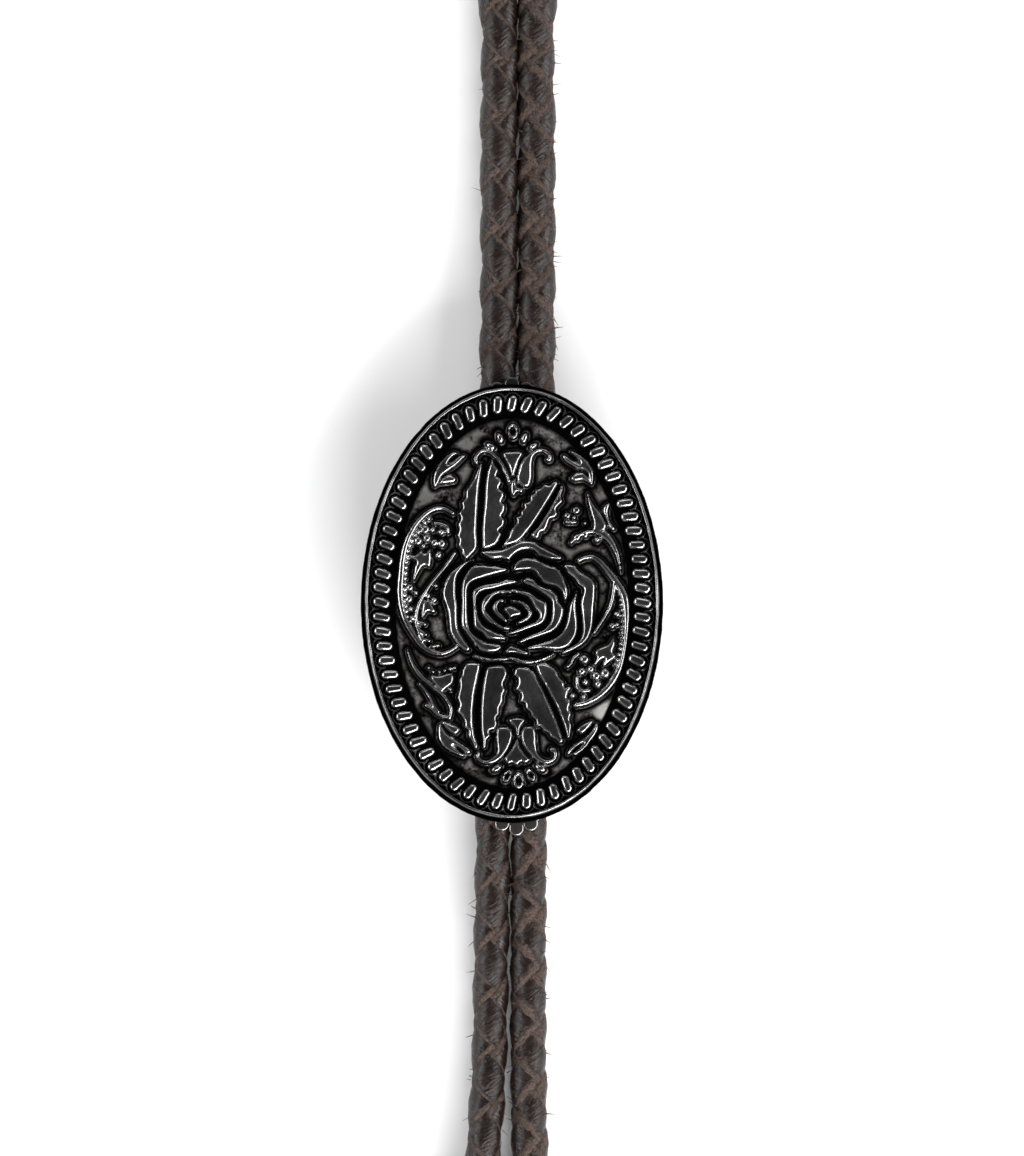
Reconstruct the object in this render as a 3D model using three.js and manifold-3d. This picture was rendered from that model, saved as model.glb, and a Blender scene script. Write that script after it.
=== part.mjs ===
// Bolo tie laid flat, face up: a cast oval ornament on a plain back clip, and a round braided
// leather cord that goes twice through the clip, once round the neck, and ends in two tips.
// Millimetres, +Z up. The origin is the middle of the clip's back, on the surface it rests on.
// +Y points along the ornament towards the neck loop, +X to the right as seen from above.

import * as THREE from 'three';
import { mergeVertices } from 'three/addons/utils/BufferGeometryUtils.js';
import Module from 'manifold-3d';

// cord
const cordDiameter = 4.0;
const cordSides = 10;
const neckSteps = 68;
const endSteps = 5;
const gap = 0.3; // between pieces that touch in use

// clip: a flat sleeve round both cord runs, closed in front by the plate that carries the ornament
const clipWall = 0.8;
const clipChannelWidth = 9.4;
const clipSleeveLength = 30;
const clipShift = 0.3; // the cord runs pass slightly right of the middle
const clipPlateReach = { top: 24.0, bottom: 24.3 }; // from the middle, without the end lobes
const clipPlateEndWidth = 5.6;

// ornament
const ornamentWidth = 33.8;
const ornamentHeight = 49.2;
const rimHeight = 2.3;
const channelHeight = 1.2; // the sunk bands on both sides of the rope border
const fieldHeight = 1.3;
const ribHeight = 2.1;
const ribCount = 72;
const ribLength = 1.9;
const ribWidth = 0.85;
const ribSlant = 20; // degrees off the straight outward line
const ribInset = 2.3; // from the ornament's edge to the middle of a rib
const reliefTop = 2.15;

// tips
const tipLength = 45;
const tipMouthRadius = 2.75;
const tipEndRadius = 1.9;
const tipBoreRadius = cordDiameter / 2 + gap;
const tipBoreDepth = 12;
const tipSides = 20;
const tipLift = 0.06; // keeps the tilted mouth's edge off the surface

// levels, from the surface up
const cordLow = cordDiameter / 2; // centre of a cord that lies on the surface
const cordInClip = clipWall + gap + cordDiameter / 2;
const clipTop = clipWall + gap + cordDiameter + gap + clipWall;
const ornamentBack = clipTop + gap;

// The cord's route, chosen by hand: up the left run, round the neck, down the right run.
// Columns: x, y, z of the centre line.
const neckRoute = [
  [-2.1, -19, cordInClip], [-2.0, -8, cordInClip], [-1.85, 4, cordInClip], [-1.65, 15, cordInClip],
  [-1.6, 27, 2.75], [-1.65, 39, 2.15], [-1.75, 53, cordLow], [-1.9, 68, cordLow],
  [-4.5, 84, cordLow], [-13.5, 101, cordLow], [-28, 117, cordLow], [-44, 132, cordLow],
  [-59, 148, cordLow], [-71.5, 166, cordLow], [-79, 187, cordLow], [-80, 208, cordLow],
  [-73.5, 229, cordLow], [-60.5, 247, cordLow], [-42.5, 260, cordLow], [-21.5, 267.5, cordLow],
  [0.5, 270, cordLow],
  [22.5, 267.5, cordLow], [43.5, 260, cordLow], [61.5, 247, cordLow], [74.5, 229, cordLow],
  [81, 208, cordLow], [80, 187, cordLow], [72.5, 166, cordLow], [60, 148, cordLow],
  [45, 132, cordLow], [29, 117, cordLow], [14.6, 101, cordLow], [5.6, 84, cordLow],
  [3.0, 68, cordLow], [2.9, 53, cordLow], [2.8, 39, 2.15], [2.7, 27, 2.75],
  [2.6, 15, cordInClip], [2.4, 4, cordInClip], [2.1, -8, cordInClip], [1.95, -19, cordInClip],
];
const leftEndRoute = [
  [-2.1, -19.3, cordInClip], [-2.15, -28, 2.75], [-2.4, -40, 2.1], [-2.8, -52, 2.1],
  [-3.35, -61, 2.45], [-3.9, -70, 2.72], [-4.4, -78.4, 2.58],
];
const rightEndRoute = [
  [1.95, -19.3, cordInClip], [1.9, -28, 2.75], [1.9, -40, 2.1], [2.0, -52, 2.1],
  [2.2, -61, 2.45], [2.5, -70, 2.72], [2.8, -78.4, 2.58],
];
// Each tip runs from its mouth towards its point.
const tipPlaces = {
  left: { mouth: [-3.72, -67, tipMouthRadius + tipLift], direction: [-0.06, -1, -0.0189] },
  right: { mouth: [2.4, -67, tipMouthRadius + tipLift], direction: [0.036, -1, -0.0189] },
};

const blackenedNickel = new THREE.MeshStandardMaterial({
  name: 'blackened_nickel', color: 0x2b2b2d, roughness: 0.28, metalness: 1,
});
const brightNickel = new THREE.MeshStandardMaterial({
  name: 'bright_nickel', color: 0xb8b7b3, roughness: 0.25, metalness: 1,
});
const brownLeather = new THREE.MeshStandardMaterial({
  name: 'brown_leather', color: 0x2a1c17, roughness: 0.6, metalness: 0,
});

const wasm = await Module();
wasm.setup();

// ---- closed solids and their joining ----

function weld(geometry) {
  const bare = geometry.index ? geometry.clone() : geometry;
  bare.deleteAttribute('normal');
  bare.deleteAttribute('uv');
  return mergeVertices(bare, 1e-4);
}

function toSolid(geometry) {
  const welded = weld(geometry);
  return new wasm.Manifold(new wasm.Mesh({
    numProp: 3,
    vertProperties: new Float32Array(welded.attributes.position.array),
    triVerts: new Uint32Array(welded.index.array),
  }));
}

function toGeometry(solid) {
  const mesh = solid.getMesh();
  const geometry = new THREE.BufferGeometry();
  geometry.setAttribute('position', new THREE.BufferAttribute(mesh.vertProperties, 3));
  geometry.setIndex(new THREE.BufferAttribute(mesh.triVerts, 1));
  return geometry;
}

function joined(geometries) {
  return toGeometry(geometries.map(toSolid).reduce((whole, piece) => whole.add(piece)));
}

function piece(name, geometry, material) {
  const mesh = new THREE.Mesh(geometry, material);
  mesh.name = name;
  return mesh;
}

// a flat outline raised from one level to another
function slab(shape, bottom, top, curveSegments = 8) {
  const geometry = new THREE.ExtrudeGeometry(shape, {
    depth: top - bottom, bevelEnabled: false, curveSegments, steps: 1,
  });
  return geometry.translate(0, 0, bottom);
}

function smoothOutline(points) {
  const flat = points.map(([x, y]) => new THREE.Vector2(x, y));
  return new THREE.Shape().setFromPoints(flat);
}

// ---- cord and tips ----

function cordTube(route, steps) {
  const path = new THREE.CatmullRomCurve3(route.map((p) => new THREE.Vector3(...p)), false, 'centripetal');
  path.arcLengthDivisions = 1000;
  const section = new THREE.Shape();
  for (let side = 0; side < cordSides; side += 1) {
    const angle = (2 * Math.PI * side) / cordSides;
    const x = (cordDiameter / 2) * Math.cos(angle);
    const y = (cordDiameter / 2) * Math.sin(angle);
    if (side === 0) section.moveTo(x, y);
    else section.lineTo(x, y);
  }
  section.closePath();
  return weld(new THREE.ExtrudeGeometry(section, { steps, bevelEnabled: false, extrudePath: path }));
}

function cordTip(place) {
  const profile = [
    [0, tipLength], [0.75 * tipEndRadius, tipLength - 0.5], [tipEndRadius, tipLength - 1.6],
    [tipMouthRadius, 3], [tipMouthRadius, 0], [tipBoreRadius, 0], [tipBoreRadius, tipBoreDepth],
    [0, tipBoreDepth],
  ].map(([r, along]) => new THREE.Vector2(r, along)).reverse();
  const geometry = weld(new THREE.LatheGeometry(profile, tipSides));
  const direction = new THREE.Vector3(...place.direction).normalize();
  const turn = new THREE.Quaternion().setFromUnitVectors(new THREE.Vector3(0, 1, 0), direction);
  return geometry.applyQuaternion(turn).translate(...place.mouth);
}

// ---- back clip ----

function clipSleeve() {
  const outer = clipChannelWidth / 2 + clipWall;
  const inner = clipChannelWidth / 2;
  const section = smoothOutline([[-outer, 0], [outer, 0], [outer, clipTop], [-outer, clipTop]]);
  const channelTop = clipTop - clipWall;
  section.holes.push(smoothOutline(
    [[-inner, clipWall], [-inner, channelTop], [inner, channelTop], [inner, clipWall]],
  ));
  return slab(section, -clipSleeveLength / 2, clipSleeveLength / 2)
    .rotateX(Math.PI / 2)
    .translate(clipShift, 0, 0);
}

// The plate narrows past the sleeve and ends in three small lobes above and below the ornament.
function clipPlate() {
  const wide = clipChannelWidth / 2 + clipWall;
  const narrow = clipPlateEndWidth / 2;
  const shoulder = clipSleeveLength / 2;
  const { top, bottom: foot } = clipPlateReach;
  const neck = top - 4;
  const outline = smoothOutline([
    [wide, -shoulder], [wide, shoulder], [narrow, neck], [narrow, top],
    [-narrow, top], [-narrow, neck], [-wide, shoulder], [-wide, -shoulder],
    [-narrow, -neck], [-narrow, -foot], [narrow, -foot], [narrow, -neck],
  ]);
  const bottom = clipTop - clipWall;
  const solids = [slab(outline, bottom, clipTop).translate(clipShift, 0, 0)];
  const lobes = [
    { across: -1.75, out: 24.05, radius: 0.95 },
    { across: 0, out: 24.6, radius: 0.95 },
    { across: 1.75, out: 24.05, radius: 0.95 },
  ];
  const ends = [{ side: 1, middle: 0, further: 0 }, { side: -1, middle: 0.5, further: 0.55 }];
  for (const end of ends) {
    for (const lobe of lobes) {
      const disc = new THREE.CylinderGeometry(lobe.radius, lobe.radius, clipWall, 16);
      disc.rotateX(Math.PI / 2);
      disc.translate(end.middle + lobe.across, end.side * (lobe.out + end.further), clipTop - clipWall / 2);
      solids.push(disc);
    }
  }
  return solids;
}

function backClip() {
  return joined([clipSleeve(), ...clipPlate()]);
}

// ---- ornament ----

// Rings of the plate: how far each lies in from the edge, and its height over the plate's back.
const plateRings = [
  { inset: 0.5, height: 0 },
  { inset: 0, height: 0.5 },
  { inset: 0, height: 1.1 },
  { inset: 0.35, height: rimHeight - 0.1 },
  { inset: 0.5, height: rimHeight },
  { inset: 0.75, height: rimHeight },
  { inset: 1.0, height: channelHeight },
  { inset: 3.6, height: channelHeight },
  { inset: 3.8, height: fieldHeight },
];

function ovalPoint(angle, inset) {
  const x = (ornamentWidth / 2 - inset) * Math.cos(angle);
  const y = (ornamentHeight / 2 - inset) * Math.sin(angle);
  return [x, y];
}

// A lathe turned on the half width, each of its rings then stretched to the oval's own height.
function ovalPlate() {
  const halfWidth = ornamentWidth / 2;
  const halfHeight = ornamentHeight / 2;
  const profile = [new THREE.Vector2(0, 0)];
  for (const ring of plateRings) profile.push(new THREE.Vector2(halfWidth - ring.inset, ring.height));
  profile.push(new THREE.Vector2(0, fieldHeight));
  const plate = new THREE.LatheGeometry(profile, 80).rotateX(Math.PI / 2);
  const position = plate.attributes.position;
  for (let i = 0; i < position.count; i += 1) {
    const radius = Math.hypot(position.getX(i), position.getY(i));
    const inset = halfWidth - radius;
    const stretch = radius > 1 ? (halfHeight - inset) / radius : 1;
    position.setY(i, position.getY(i) * stretch);
  }
  return plate;
}

// Slanted ribs all round, evenly spaced along the oval.
function ropeBorder() {
  const around = new THREE.EllipseCurve(
    0, 0, ornamentWidth / 2 - ribInset, ornamentHeight / 2 - ribInset, 0, 2 * Math.PI,
  );
  const middles = around.getSpacedPoints(ribCount).slice(0, ribCount);
  return middles.map((middle, i) => {
    const ahead = around.getTangentAt(i / ribCount);
    const outward = Math.atan2(-ahead.x, ahead.y) - THREE.MathUtils.degToRad(ribSlant);
    const end = (ribLength - ribWidth) / 2;
    const rib = new THREE.Shape();
    rib.absarc(end, 0, ribWidth / 2, -Math.PI / 2, Math.PI / 2);
    rib.absarc(-end, 0, ribWidth / 2, Math.PI / 2, 1.5 * Math.PI);
    return slab(rib, channelHeight - 0.2, ribHeight, 2).rotateZ(outward).translate(middle.x, middle.y, 0);
  });
}

function wavyOval({ x, y, rx, ry, waves, depth, turn }) {
  const count = waves * 6;
  const points = [];
  for (let i = 0; i < count; i += 1) {
    const angle = (2 * Math.PI * i) / count;
    const swell = 1 + depth * Math.cos(waves * angle + turn);
    points.push([x + rx * swell * Math.cos(angle), y + ry * swell * Math.sin(angle)]);
  }
  return smoothOutline(points);
}

// The rose is a stack of wavy ovals, each petal ring a step higher than the one round it.
const roseRings = [
  { x: 0.9, y: 0, rx: 8.4, ry: 6.3, waves: 8, depth: 0.05, turn: 0, top: 1.75 },
  { x: 0.4, y: -0.6, rx: 6.3, ry: 4.9, waves: 7, depth: 0.05, turn: 1, top: 1.9 },
  { x: 0.2, y: -0.9, rx: 4.5, ry: 3.2, waves: 6, depth: 0.06, turn: 2, top: 2.0 },
  { x: 0.1, y: -1.1, rx: 2.2, ry: 1.4, waves: 5, depth: 0.06, turn: 0, top: reliefTop },
];

// Each leaf: from its foot to its tip, with the greatest width on either side of the midrib.
const leaves = [
  { foot: [-3.2, 5.6], tip: [-3.0, 15.7], left: 2.7, right: 2.2 },
  { foot: [-0.6, 6.2], tip: [5.5, 13.3], left: 2.3, right: 1.9 },
  { foot: [-3.0, -7.1], tip: [-3.6, -16.4], left: 2.3, right: 2.6 },
  { foot: [2.7, -7.2], tip: [5.8, -15.6], left: 2.3, right: 2.2 },
];
const leafTeeth = 7;

function leafOutline({ foot, tip, left, right }) {
  const start = new THREE.Vector2(...foot);
  const along = new THREE.Vector2(...tip).sub(start);
  const across = new THREE.Vector2(-along.y, along.x).normalize();
  const edge = (share, width) => {
    const bulge = width * Math.sin(Math.PI * share ** 0.8) ** 0.8;
    return start.clone().addScaledVector(along, share).addScaledVector(across, bulge);
  };
  const points = [start];
  for (let i = 1; i < 2 * leafTeeth; i += 1) {
    const notch = i % 2 ? 1 : 0.88;
    points.push(edge(i / (2 * leafTeeth), left * notch));
  }
  points.push(new THREE.Vector2(...tip));
  for (let i = 2 * leafTeeth - 1; i > 0; i -= 1) {
    const notch = i % 2 ? 1 : 0.88;
    points.push(edge(i / (2 * leafTeeth), -right * notch));
  }
  return new THREE.Shape(points);
}

// A band of the given width along a smooth line, thin at both ends.
function band(line, width, pieces = 12) {
  const middle = new THREE.SplineCurve(line.map(([x, y]) => new THREE.Vector2(x, y)));
  const sides = [[], []];
  for (let i = 0; i <= pieces; i += 1) {
    const at = middle.getPointAt(i / pieces);
    const ahead = middle.getTangentAt(i / pieces);
    const half = (width / 2) * (0.35 + 0.65 * Math.sin((Math.PI * i) / pieces));
    sides[0].push([at.x - half * ahead.y, at.y + half * ahead.x]);
    sides[1].unshift([at.x + half * ahead.y, at.y - half * ahead.x]);
  }
  return smoothOutline([...sides[0], ...sides[1]]);
}

const scrolls = [
  { line: [[-6.6, 9.8], [-10.4, 9.0], [-12.6, 2.6], [-11.4, -3.8], [-6.2, -5.3]], width: 0.8 },
  { line: [[-6.4, 5.1], [-8.4, 2.9], [-10.1, -0.1]], width: 0.7 },
  { line: [[7.4, 4.6], [10.7, 3.3], [13.1, -3.4], [11.6, -9.5], [7.0, -11.6]], width: 0.9 },
  { line: [[11.6, 2.6], [11.1, -0.8], [9.6, -3.4]], width: 0.7 },
  { line: [[-11.8, -5.0], [-10.9, -7.5], [-8.4, -9.5], [-7.2, -12.6]], width: 1.5 },
  { line: [[8.4, 11.7], [9.3, 9.2], [11.4, 6.4], [12.2, 3.4]], width: 1.5 },
];

// Small leaves, drops and berries, each an oval pad: half length, half width and turn in degrees.
const pads = [
  { x: -6.7, y: 14.6, long: 2.3, wide: 0.9, turn: 48 },
  { x: 7.4, y: 14.7, long: 2.3, wide: 0.9, turn: -45 },
  { x: -6.2, y: -15.2, long: 2.3, wide: 0.9, turn: -44 },
  { x: 8.0, y: -15.1, long: 2.3, wide: 0.9, turn: 46 },
  { x: -8.4, y: 7.0, long: 1.5, wide: 1.1, turn: 20 },
  { x: -10.1, y: 4.6, long: 1.1, wide: 0.9, turn: 60 },
  { x: 9.2, y: -8.5, long: 1.5, wide: 1.1, turn: 20 },
  { x: 10.7, y: -5.6, long: 1.1, wide: 0.9, turn: 60 },
  { x: 6.9, y: 8.5, long: 1.4, wide: 0.9, turn: 100 },
];

// A palmette: a tulip with two curling arms and a fan of five drops over it.
const palmettes = [
  { x: 0.15, foot: 13.0, side: 1 },
  { x: 0.45, foot: -13.2, side: -1 },
];

function palmetteOutlines({ x, foot, side }) {
  const at = (across, up) => [x + across, foot + side * up];
  const outlines = [
    band([at(-0.2, 0.3), at(-1.5, 2.6), at(-3.6, 3.5)], 1.1),
    band([at(0.2, 0.3), at(1.5, 2.6), at(3.6, 3.5)], 1.1),
  ];
  for (let i = -2; i <= 2; i += 1) {
    const angle = Math.PI / 2 - i * 0.5;
    const reach = 5.6 - 0.35 * Math.abs(i);
    const centre = at(reach * Math.cos(angle) * 0.55, reach * Math.sin(angle));
    const turn = side * (90 - i * 25);
    outlines.push(padOutline({ x: centre[0], y: centre[1], long: 0.75, wide: 0.4, turn }));
  }
  return outlines;
}

function padOutline({ x, y, long, wide, turn }) {
  const tilt = THREE.MathUtils.degToRad(turn);
  const oval = new THREE.EllipseCurve(x, y, long, wide, 0, 2 * Math.PI, false, tilt);
  return new THREE.Shape(oval.getPoints(10).slice(0, 10));
}

function relief() {
  const outlines = [
    ...leaves.map(leafOutline),
    ...scrolls.map(({ line, width }) => band(line, width)),
    ...pads.map(padOutline),
    ...palmettes.flatMap(palmetteOutlines),
  ];
  const low = fieldHeight - 0.2;
  return [
    ...roseRings.map((ring) => slab(wavyOval(ring), low, ring.top)),
    ...outlines.map((outline) => slab(outline, low, reliefTop - 0.25)),
  ];
}

function ornament() {
  return joined([ovalPlate(), ...ropeBorder(), ...relief()]).translate(0, 0, ornamentBack);
}

// ---- the whole bolo tie ----

const boloTie = new THREE.Group();
boloTie.add(piece('concho', ornament(), blackenedNickel));
boloTie.add(piece('slide_clip', backClip(), brightNickel));
boloTie.add(piece('neck_cord', cordTube(neckRoute, neckSteps), brownLeather));
boloTie.add(piece('left_cord_end', cordTube(leftEndRoute, endSteps), brownLeather));
boloTie.add(piece('right_cord_end', cordTube(rightEndRoute, endSteps), brownLeather));
boloTie.add(piece('left_tip', cordTip(tipPlaces.left), brightNickel));
boloTie.add(piece('right_tip', cordTip(tipPlaces.right), brightNickel));

export default boloTie;
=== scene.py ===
import math
import random
import bmesh
import bpy
import numpy as np
from mathutils import Matrix, Vector, noise


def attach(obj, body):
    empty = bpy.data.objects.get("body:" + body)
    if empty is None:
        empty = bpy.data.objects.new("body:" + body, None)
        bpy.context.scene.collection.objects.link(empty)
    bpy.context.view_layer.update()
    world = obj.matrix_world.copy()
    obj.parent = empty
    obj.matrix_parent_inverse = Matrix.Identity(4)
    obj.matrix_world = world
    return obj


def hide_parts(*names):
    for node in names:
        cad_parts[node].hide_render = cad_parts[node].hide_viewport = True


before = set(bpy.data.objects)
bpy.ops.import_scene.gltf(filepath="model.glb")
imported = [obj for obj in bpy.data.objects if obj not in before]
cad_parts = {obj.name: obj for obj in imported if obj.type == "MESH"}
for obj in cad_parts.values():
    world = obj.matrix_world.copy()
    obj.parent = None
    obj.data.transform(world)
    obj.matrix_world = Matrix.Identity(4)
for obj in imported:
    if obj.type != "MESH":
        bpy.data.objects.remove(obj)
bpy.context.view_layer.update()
mm = 0.001
print("frame loaded:", ", ".join(sorted(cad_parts)))


# camera, and what the scene stands on

studio = {
    "frameHeight": 129.5,       # what the camera sees at the ornament's level, top to bottom, mm
    "distance": 760.0,
    "lens": 200.0,
    "lean": 4.0,                # degrees from straight above, towards the cord tips
    "aim": (0.0, 2.9, 6.0),
    "floor": 3.0,               # metres
    "floorTone": (0.86, 0.86, 0.86),
    "floorGlow": 0.08,
    "horizon": (0.42, 0.42, 0.43),
    "zenith": (0.078, 0.078, 0.078),
}


def makeCamera():
    data = bpy.data.cameras.new("camera")
    data.sensor_fit = "VERTICAL"
    data.sensor_height = studio["lens"] * studio["frameHeight"] / studio["distance"]
    data.lens = studio["lens"]
    data.clip_start = 0.01
    data.clip_end = 20
    camera = bpy.data.objects.new("camera", data)
    bpy.context.collection.objects.link(camera)
    lean = math.radians(studio["lean"])
    aim = Vector(studio["aim"]) * mm
    camera.location = aim + Vector((0, -math.sin(lean), math.cos(lean))) * studio["distance"] * mm
    camera.rotation_euler = (lean, 0, 0)
    bpy.context.scene.camera = camera


makeCamera()


# cords: their routes and the braid

cordSize = {
    "pitch": 12.9,              # one full turn of a lace round the cord, mm
    "laceWidth": 4.3,
    "laceThickness": 0.95,
    "middle": 1.5,              # from the cord's centre line to the middle of a lace
    "sway": 0.3,                # how far a lace moves out over and in under the others
    "stray": 0.05,              # how unevenly it lies
    "widthChange": 0.1,         # share by which its width varies
    "thicknessChange": 0.06,
    "rag": 0.22,                # how ragged its cut edges are
    "droop": 0.16,              # how far its edges bend down where it lies on top
    "innermost": 0.12,          # nothing comes nearer the centre line
    "lowest": 0.03,             # the cord lies flat where it rests
    "fineStep": 0.4,
    "coarseStep": 0.62,
    "fineReach": 118.0,         # length at either end of a cord with the fine step
}

inClip = 3.1                    # heights of a centre line inside the clip and on the table
lying = 2.0
# centre lines in millimetres, within half a millimetre of the plain cords'
neckRoute = [
    (-2.1, -19, inClip), (-2.0, -8, inClip), (-1.85, 4, inClip), (-1.65, 15, inClip),
    (-1.5, 27, 2.75), (-1.42, 39, 2.15), (-1.47, 53, lying), (-1.58, 68, lying),
    (-4.5, 84, lying), (-13.5, 101, lying), (-28, 117, lying), (-44, 132, lying),
    (-59, 148, lying), (-71.5, 166, lying), (-79, 187, lying), (-80, 208, lying),
    (-73.5, 229, lying), (-60.5, 247, lying), (-42.5, 260, lying), (-21.5, 267.5, lying),
    (0.5, 270, lying),
    (22.5, 267.5, lying), (43.5, 260, lying), (61.5, 247, lying), (74.5, 229, lying),
    (81, 208, lying), (80, 187, lying), (72.5, 166, lying), (60, 148, lying),
    (45, 132, lying), (29, 117, lying), (14.6, 101, lying), (5.6, 84, lying),
    (2.85, 68, lying), (2.78, 53, lying), (2.72, 39, 2.15), (2.7, 27, 2.75),
    (2.6, 15, inClip), (2.4, 4, inClip), (2.1, -8, inClip), (1.95, -19, inClip),
]
leftEndRoute = [
    (-2.1, -19.3, inClip), (-2.15, -28, 2.75), (-2.35, -40, 2.1), (-2.6, -52, 2.1),
    (-3.2, -61, 2.45), (-3.9, -70, 2.72), (-4.4, -78.4, 2.58),
]
rightEndRoute = [
    (1.95, -19.3, inClip), (1.88, -28, 2.75), (1.83, -40, 2.1), (1.85, -52, 2.1),
    (2.0, -61, 2.45), (2.5, -70, 2.72), (2.8, -78.4, 2.58),
]


# a smooth curve through the points of a route, densely sampled
def smoothLine(points, perPart=24):
    points = [Vector(p) for p in points]
    ends = [points[0] * 2 - points[1]] + points + [points[-1] * 2 - points[-2]]
    line = []
    for a, b, c, d in zip(ends, ends[1:], ends[2:], ends[3:]):
        before, here, after = (max((q - p).length, 1e-6) ** 0.5 for p, q in ((a, b), (b, c), (c, d)))
        leave = ((b - a) / before - (c - a) / (before + here) + (c - b) / here) * here
        arrive = ((c - b) / here - (d - b) / (here + after) + (d - c) / after) * here
        for i in range(perPart):
            t = i / perPart
            line.append(
                b * (2 * t**3 - 3 * t**2 + 1) + leave * (t**3 - 2 * t**2 + t)
                + c * (3 * t**2 - 2 * t**3) + arrive * (t**3 - t**2)
            )
    line.append(points[-1])
    return np.array(line)


def lengthsAlong(line):
    return np.concatenate([[0], np.cumsum(np.linalg.norm(np.diff(line, axis=0), axis=1))])


# places along a line, close together near its ends and wider apart in the middle
def placesAlong(total):
    fine, coarse, reach = cordSize["fineStep"], cordSize["coarseStep"], cordSize["fineReach"]
    if total <= 2 * reach:
        return np.linspace(0, total, int(total / fine) + 1)
    head = np.linspace(0, reach, int(reach / fine) + 1)
    body = np.linspace(reach, total - reach, int((total - 2 * reach) / coarse) + 1)
    return np.concatenate([head, body[1:-1], total - head[::-1]])


# centre, direction, sideways and upwards at each place
def runAlong(line, places):
    along = lengthsAlong(line)
    centre = np.stack([np.interp(places, along, line[:, k]) for k in range(3)], axis=1)
    ahead = np.gradient(centre, axis=0)
    ahead /= np.linalg.norm(ahead, axis=1)[:, None]
    side = np.cross(ahead, (0, 0, 1))
    side /= np.linalg.norm(side, axis=1)[:, None]
    up = np.cross(side, ahead)
    return centre, ahead, side, up


# outline of one lace's section: across the lace, through its thickness, and how much is cut edge
laceSection = [
    (-1.0, -0.05, 1.0), (-0.93, 0.45, 1.0), (-0.8, 0.8, 1.0), (-0.66, 0.97, 0.45), (-0.3, 1.03, 0.0),
    (0.3, 1.03, 0.0), (0.66, 0.97, 0.45), (0.8, 0.8, 1.0), (0.93, 0.45, 1.0), (1.0, -0.05, 1.0),
    (0.92, -0.9, 1.0), (-0.92, -0.9, 1.0),
]


# four laces, two of each hand, each passing over and under the others in turn;
# turns is how far the whole braid is rolled at its start and end, in degrees
def braidedCord(name, route, turns, seed, phase, slimmer):
    line = smoothLine(route)
    total = lengthsAlong(line)[-1]
    places = placesAlong(total)
    centre, ahead, side, up = runAlong(line, places)
    pitch, middle, sway = cordSize["pitch"], cordSize["middle"] - slimmer, cordSize["sway"]
    halfWidth, halfThick = cordSize["laceWidth"] / 2, cordSize["laceThickness"] / 2
    outside = middle + sway
    steep = math.atan2(2 * math.pi * outside, pitch)
    roll = np.radians(np.interp(places, [0, total], turns))
    bm = bmesh.new()
    edgeLayer = bm.verts.layers.float.new("cutEdge")
    uvLayer = bm.loops.layers.uv.new("lace")
    for lace in range(4):
        hand = 1 if lace % 2 == 0 else -1
        start = lace // 2 * math.pi + (0 if hand == 1 else math.pi / 2)
        rings = []
        for i, place in enumerate(places):
            angle = hand * 2 * math.pi * (place + phase) / pitch + start
            over = math.cos(2 * (angle - math.pi / 4)) * hand
            wobble = Vector((place * 0.35, lace * 7.3, seed))
            out = middle + sway * over + cordSize["stray"] * noise.noise(wobble)
            wide = halfWidth * (1 + cordSize["widthChange"] * noise.noise(wobble * 1.7))
            ring = []
            for across, thick, cut in laceSection:
                rag = noise.noise(Vector((place * 2.2, across * 3 + lace * 5, seed + 9)))
                spread = across * wide
                if abs(across) > 0.9:
                    spread += cordSize["rag"] * rag * cut
                radius = out + thick * halfThick * (1 + cordSize["thicknessChange"] * rag)
                radius -= cordSize["droop"] * across**2 * max(over, 0)
                radius = max(radius, cordSize["innermost"])
                theta = angle - hand * spread * math.cos(steep) / outside + roll[i]
                local = radius * (math.cos(theta) * side[i] + math.sin(theta) * up[i])
                point = centre[i] + local + spread * math.sin(steep) * ahead[i]
                point[2] = max(point[2], cordSize["lowest"])
                ring.append((point, cut, across, place))
            rings.append(ring)
        addRings(bm, rings, edgeLayer, uvLayer)
    mesh = bpy.data.meshes.new(name)
    bm.normal_update()
    bmesh.ops.recalc_face_normals(bm, faces=bm.faces)
    bm.to_mesh(mesh)
    bm.free()
    return addPiece(name, mesh), [tuple(p * mm) for p in centre]


# a closed tube through rings of places, with the lace's own coordinates
def addRings(bm, rings, edgeLayer, uvLayer):
    rows = []
    for ring in rings:
        row = []
        for point, cut, across, place in ring:
            vert = bm.verts.new(point * mm)
            vert[edgeLayer] = cut
            row.append((vert, across, place))
        rows.append(row)
    count = len(rows[0])
    for low, high in zip(rows, rows[1:]):
        for k in range(count):
            corners = (low[k], low[(k + 1) % count], high[(k + 1) % count], high[k])
            face = bm.faces.new([c[0] for c in corners])
            face.smooth = True
            for loop, corner in zip(face.loops, corners):
                loop[uvLayer].uv = (corner[1] * 1.5, corner[2])
    bm.faces.new([c[0] for c in reversed(rows[0])])
    bm.faces.new([c[0] for c in rows[-1]])


def addPiece(name, mesh):
    piece = bpy.data.objects.new(name, mesh)
    bpy.context.collection.objects.link(piece)
    return piece


# the new vertices among what an operator returns
def vertsOf(made):
    return [g for g in made if isinstance(g, bmesh.types.BMVert)]


def turnVerts(bm, verts, matrix):
    bmesh.ops.rotate(bm, verts=verts, cent=(0, 0, 0), matrix=matrix)


def roundEdges(bm, edges, offset, segments):
    return bmesh.ops.bevel(
        bm, geom=edges, offset=offset, segments=segments, profile=0.5, affect="EDGES", material=-1,
    )


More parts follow.
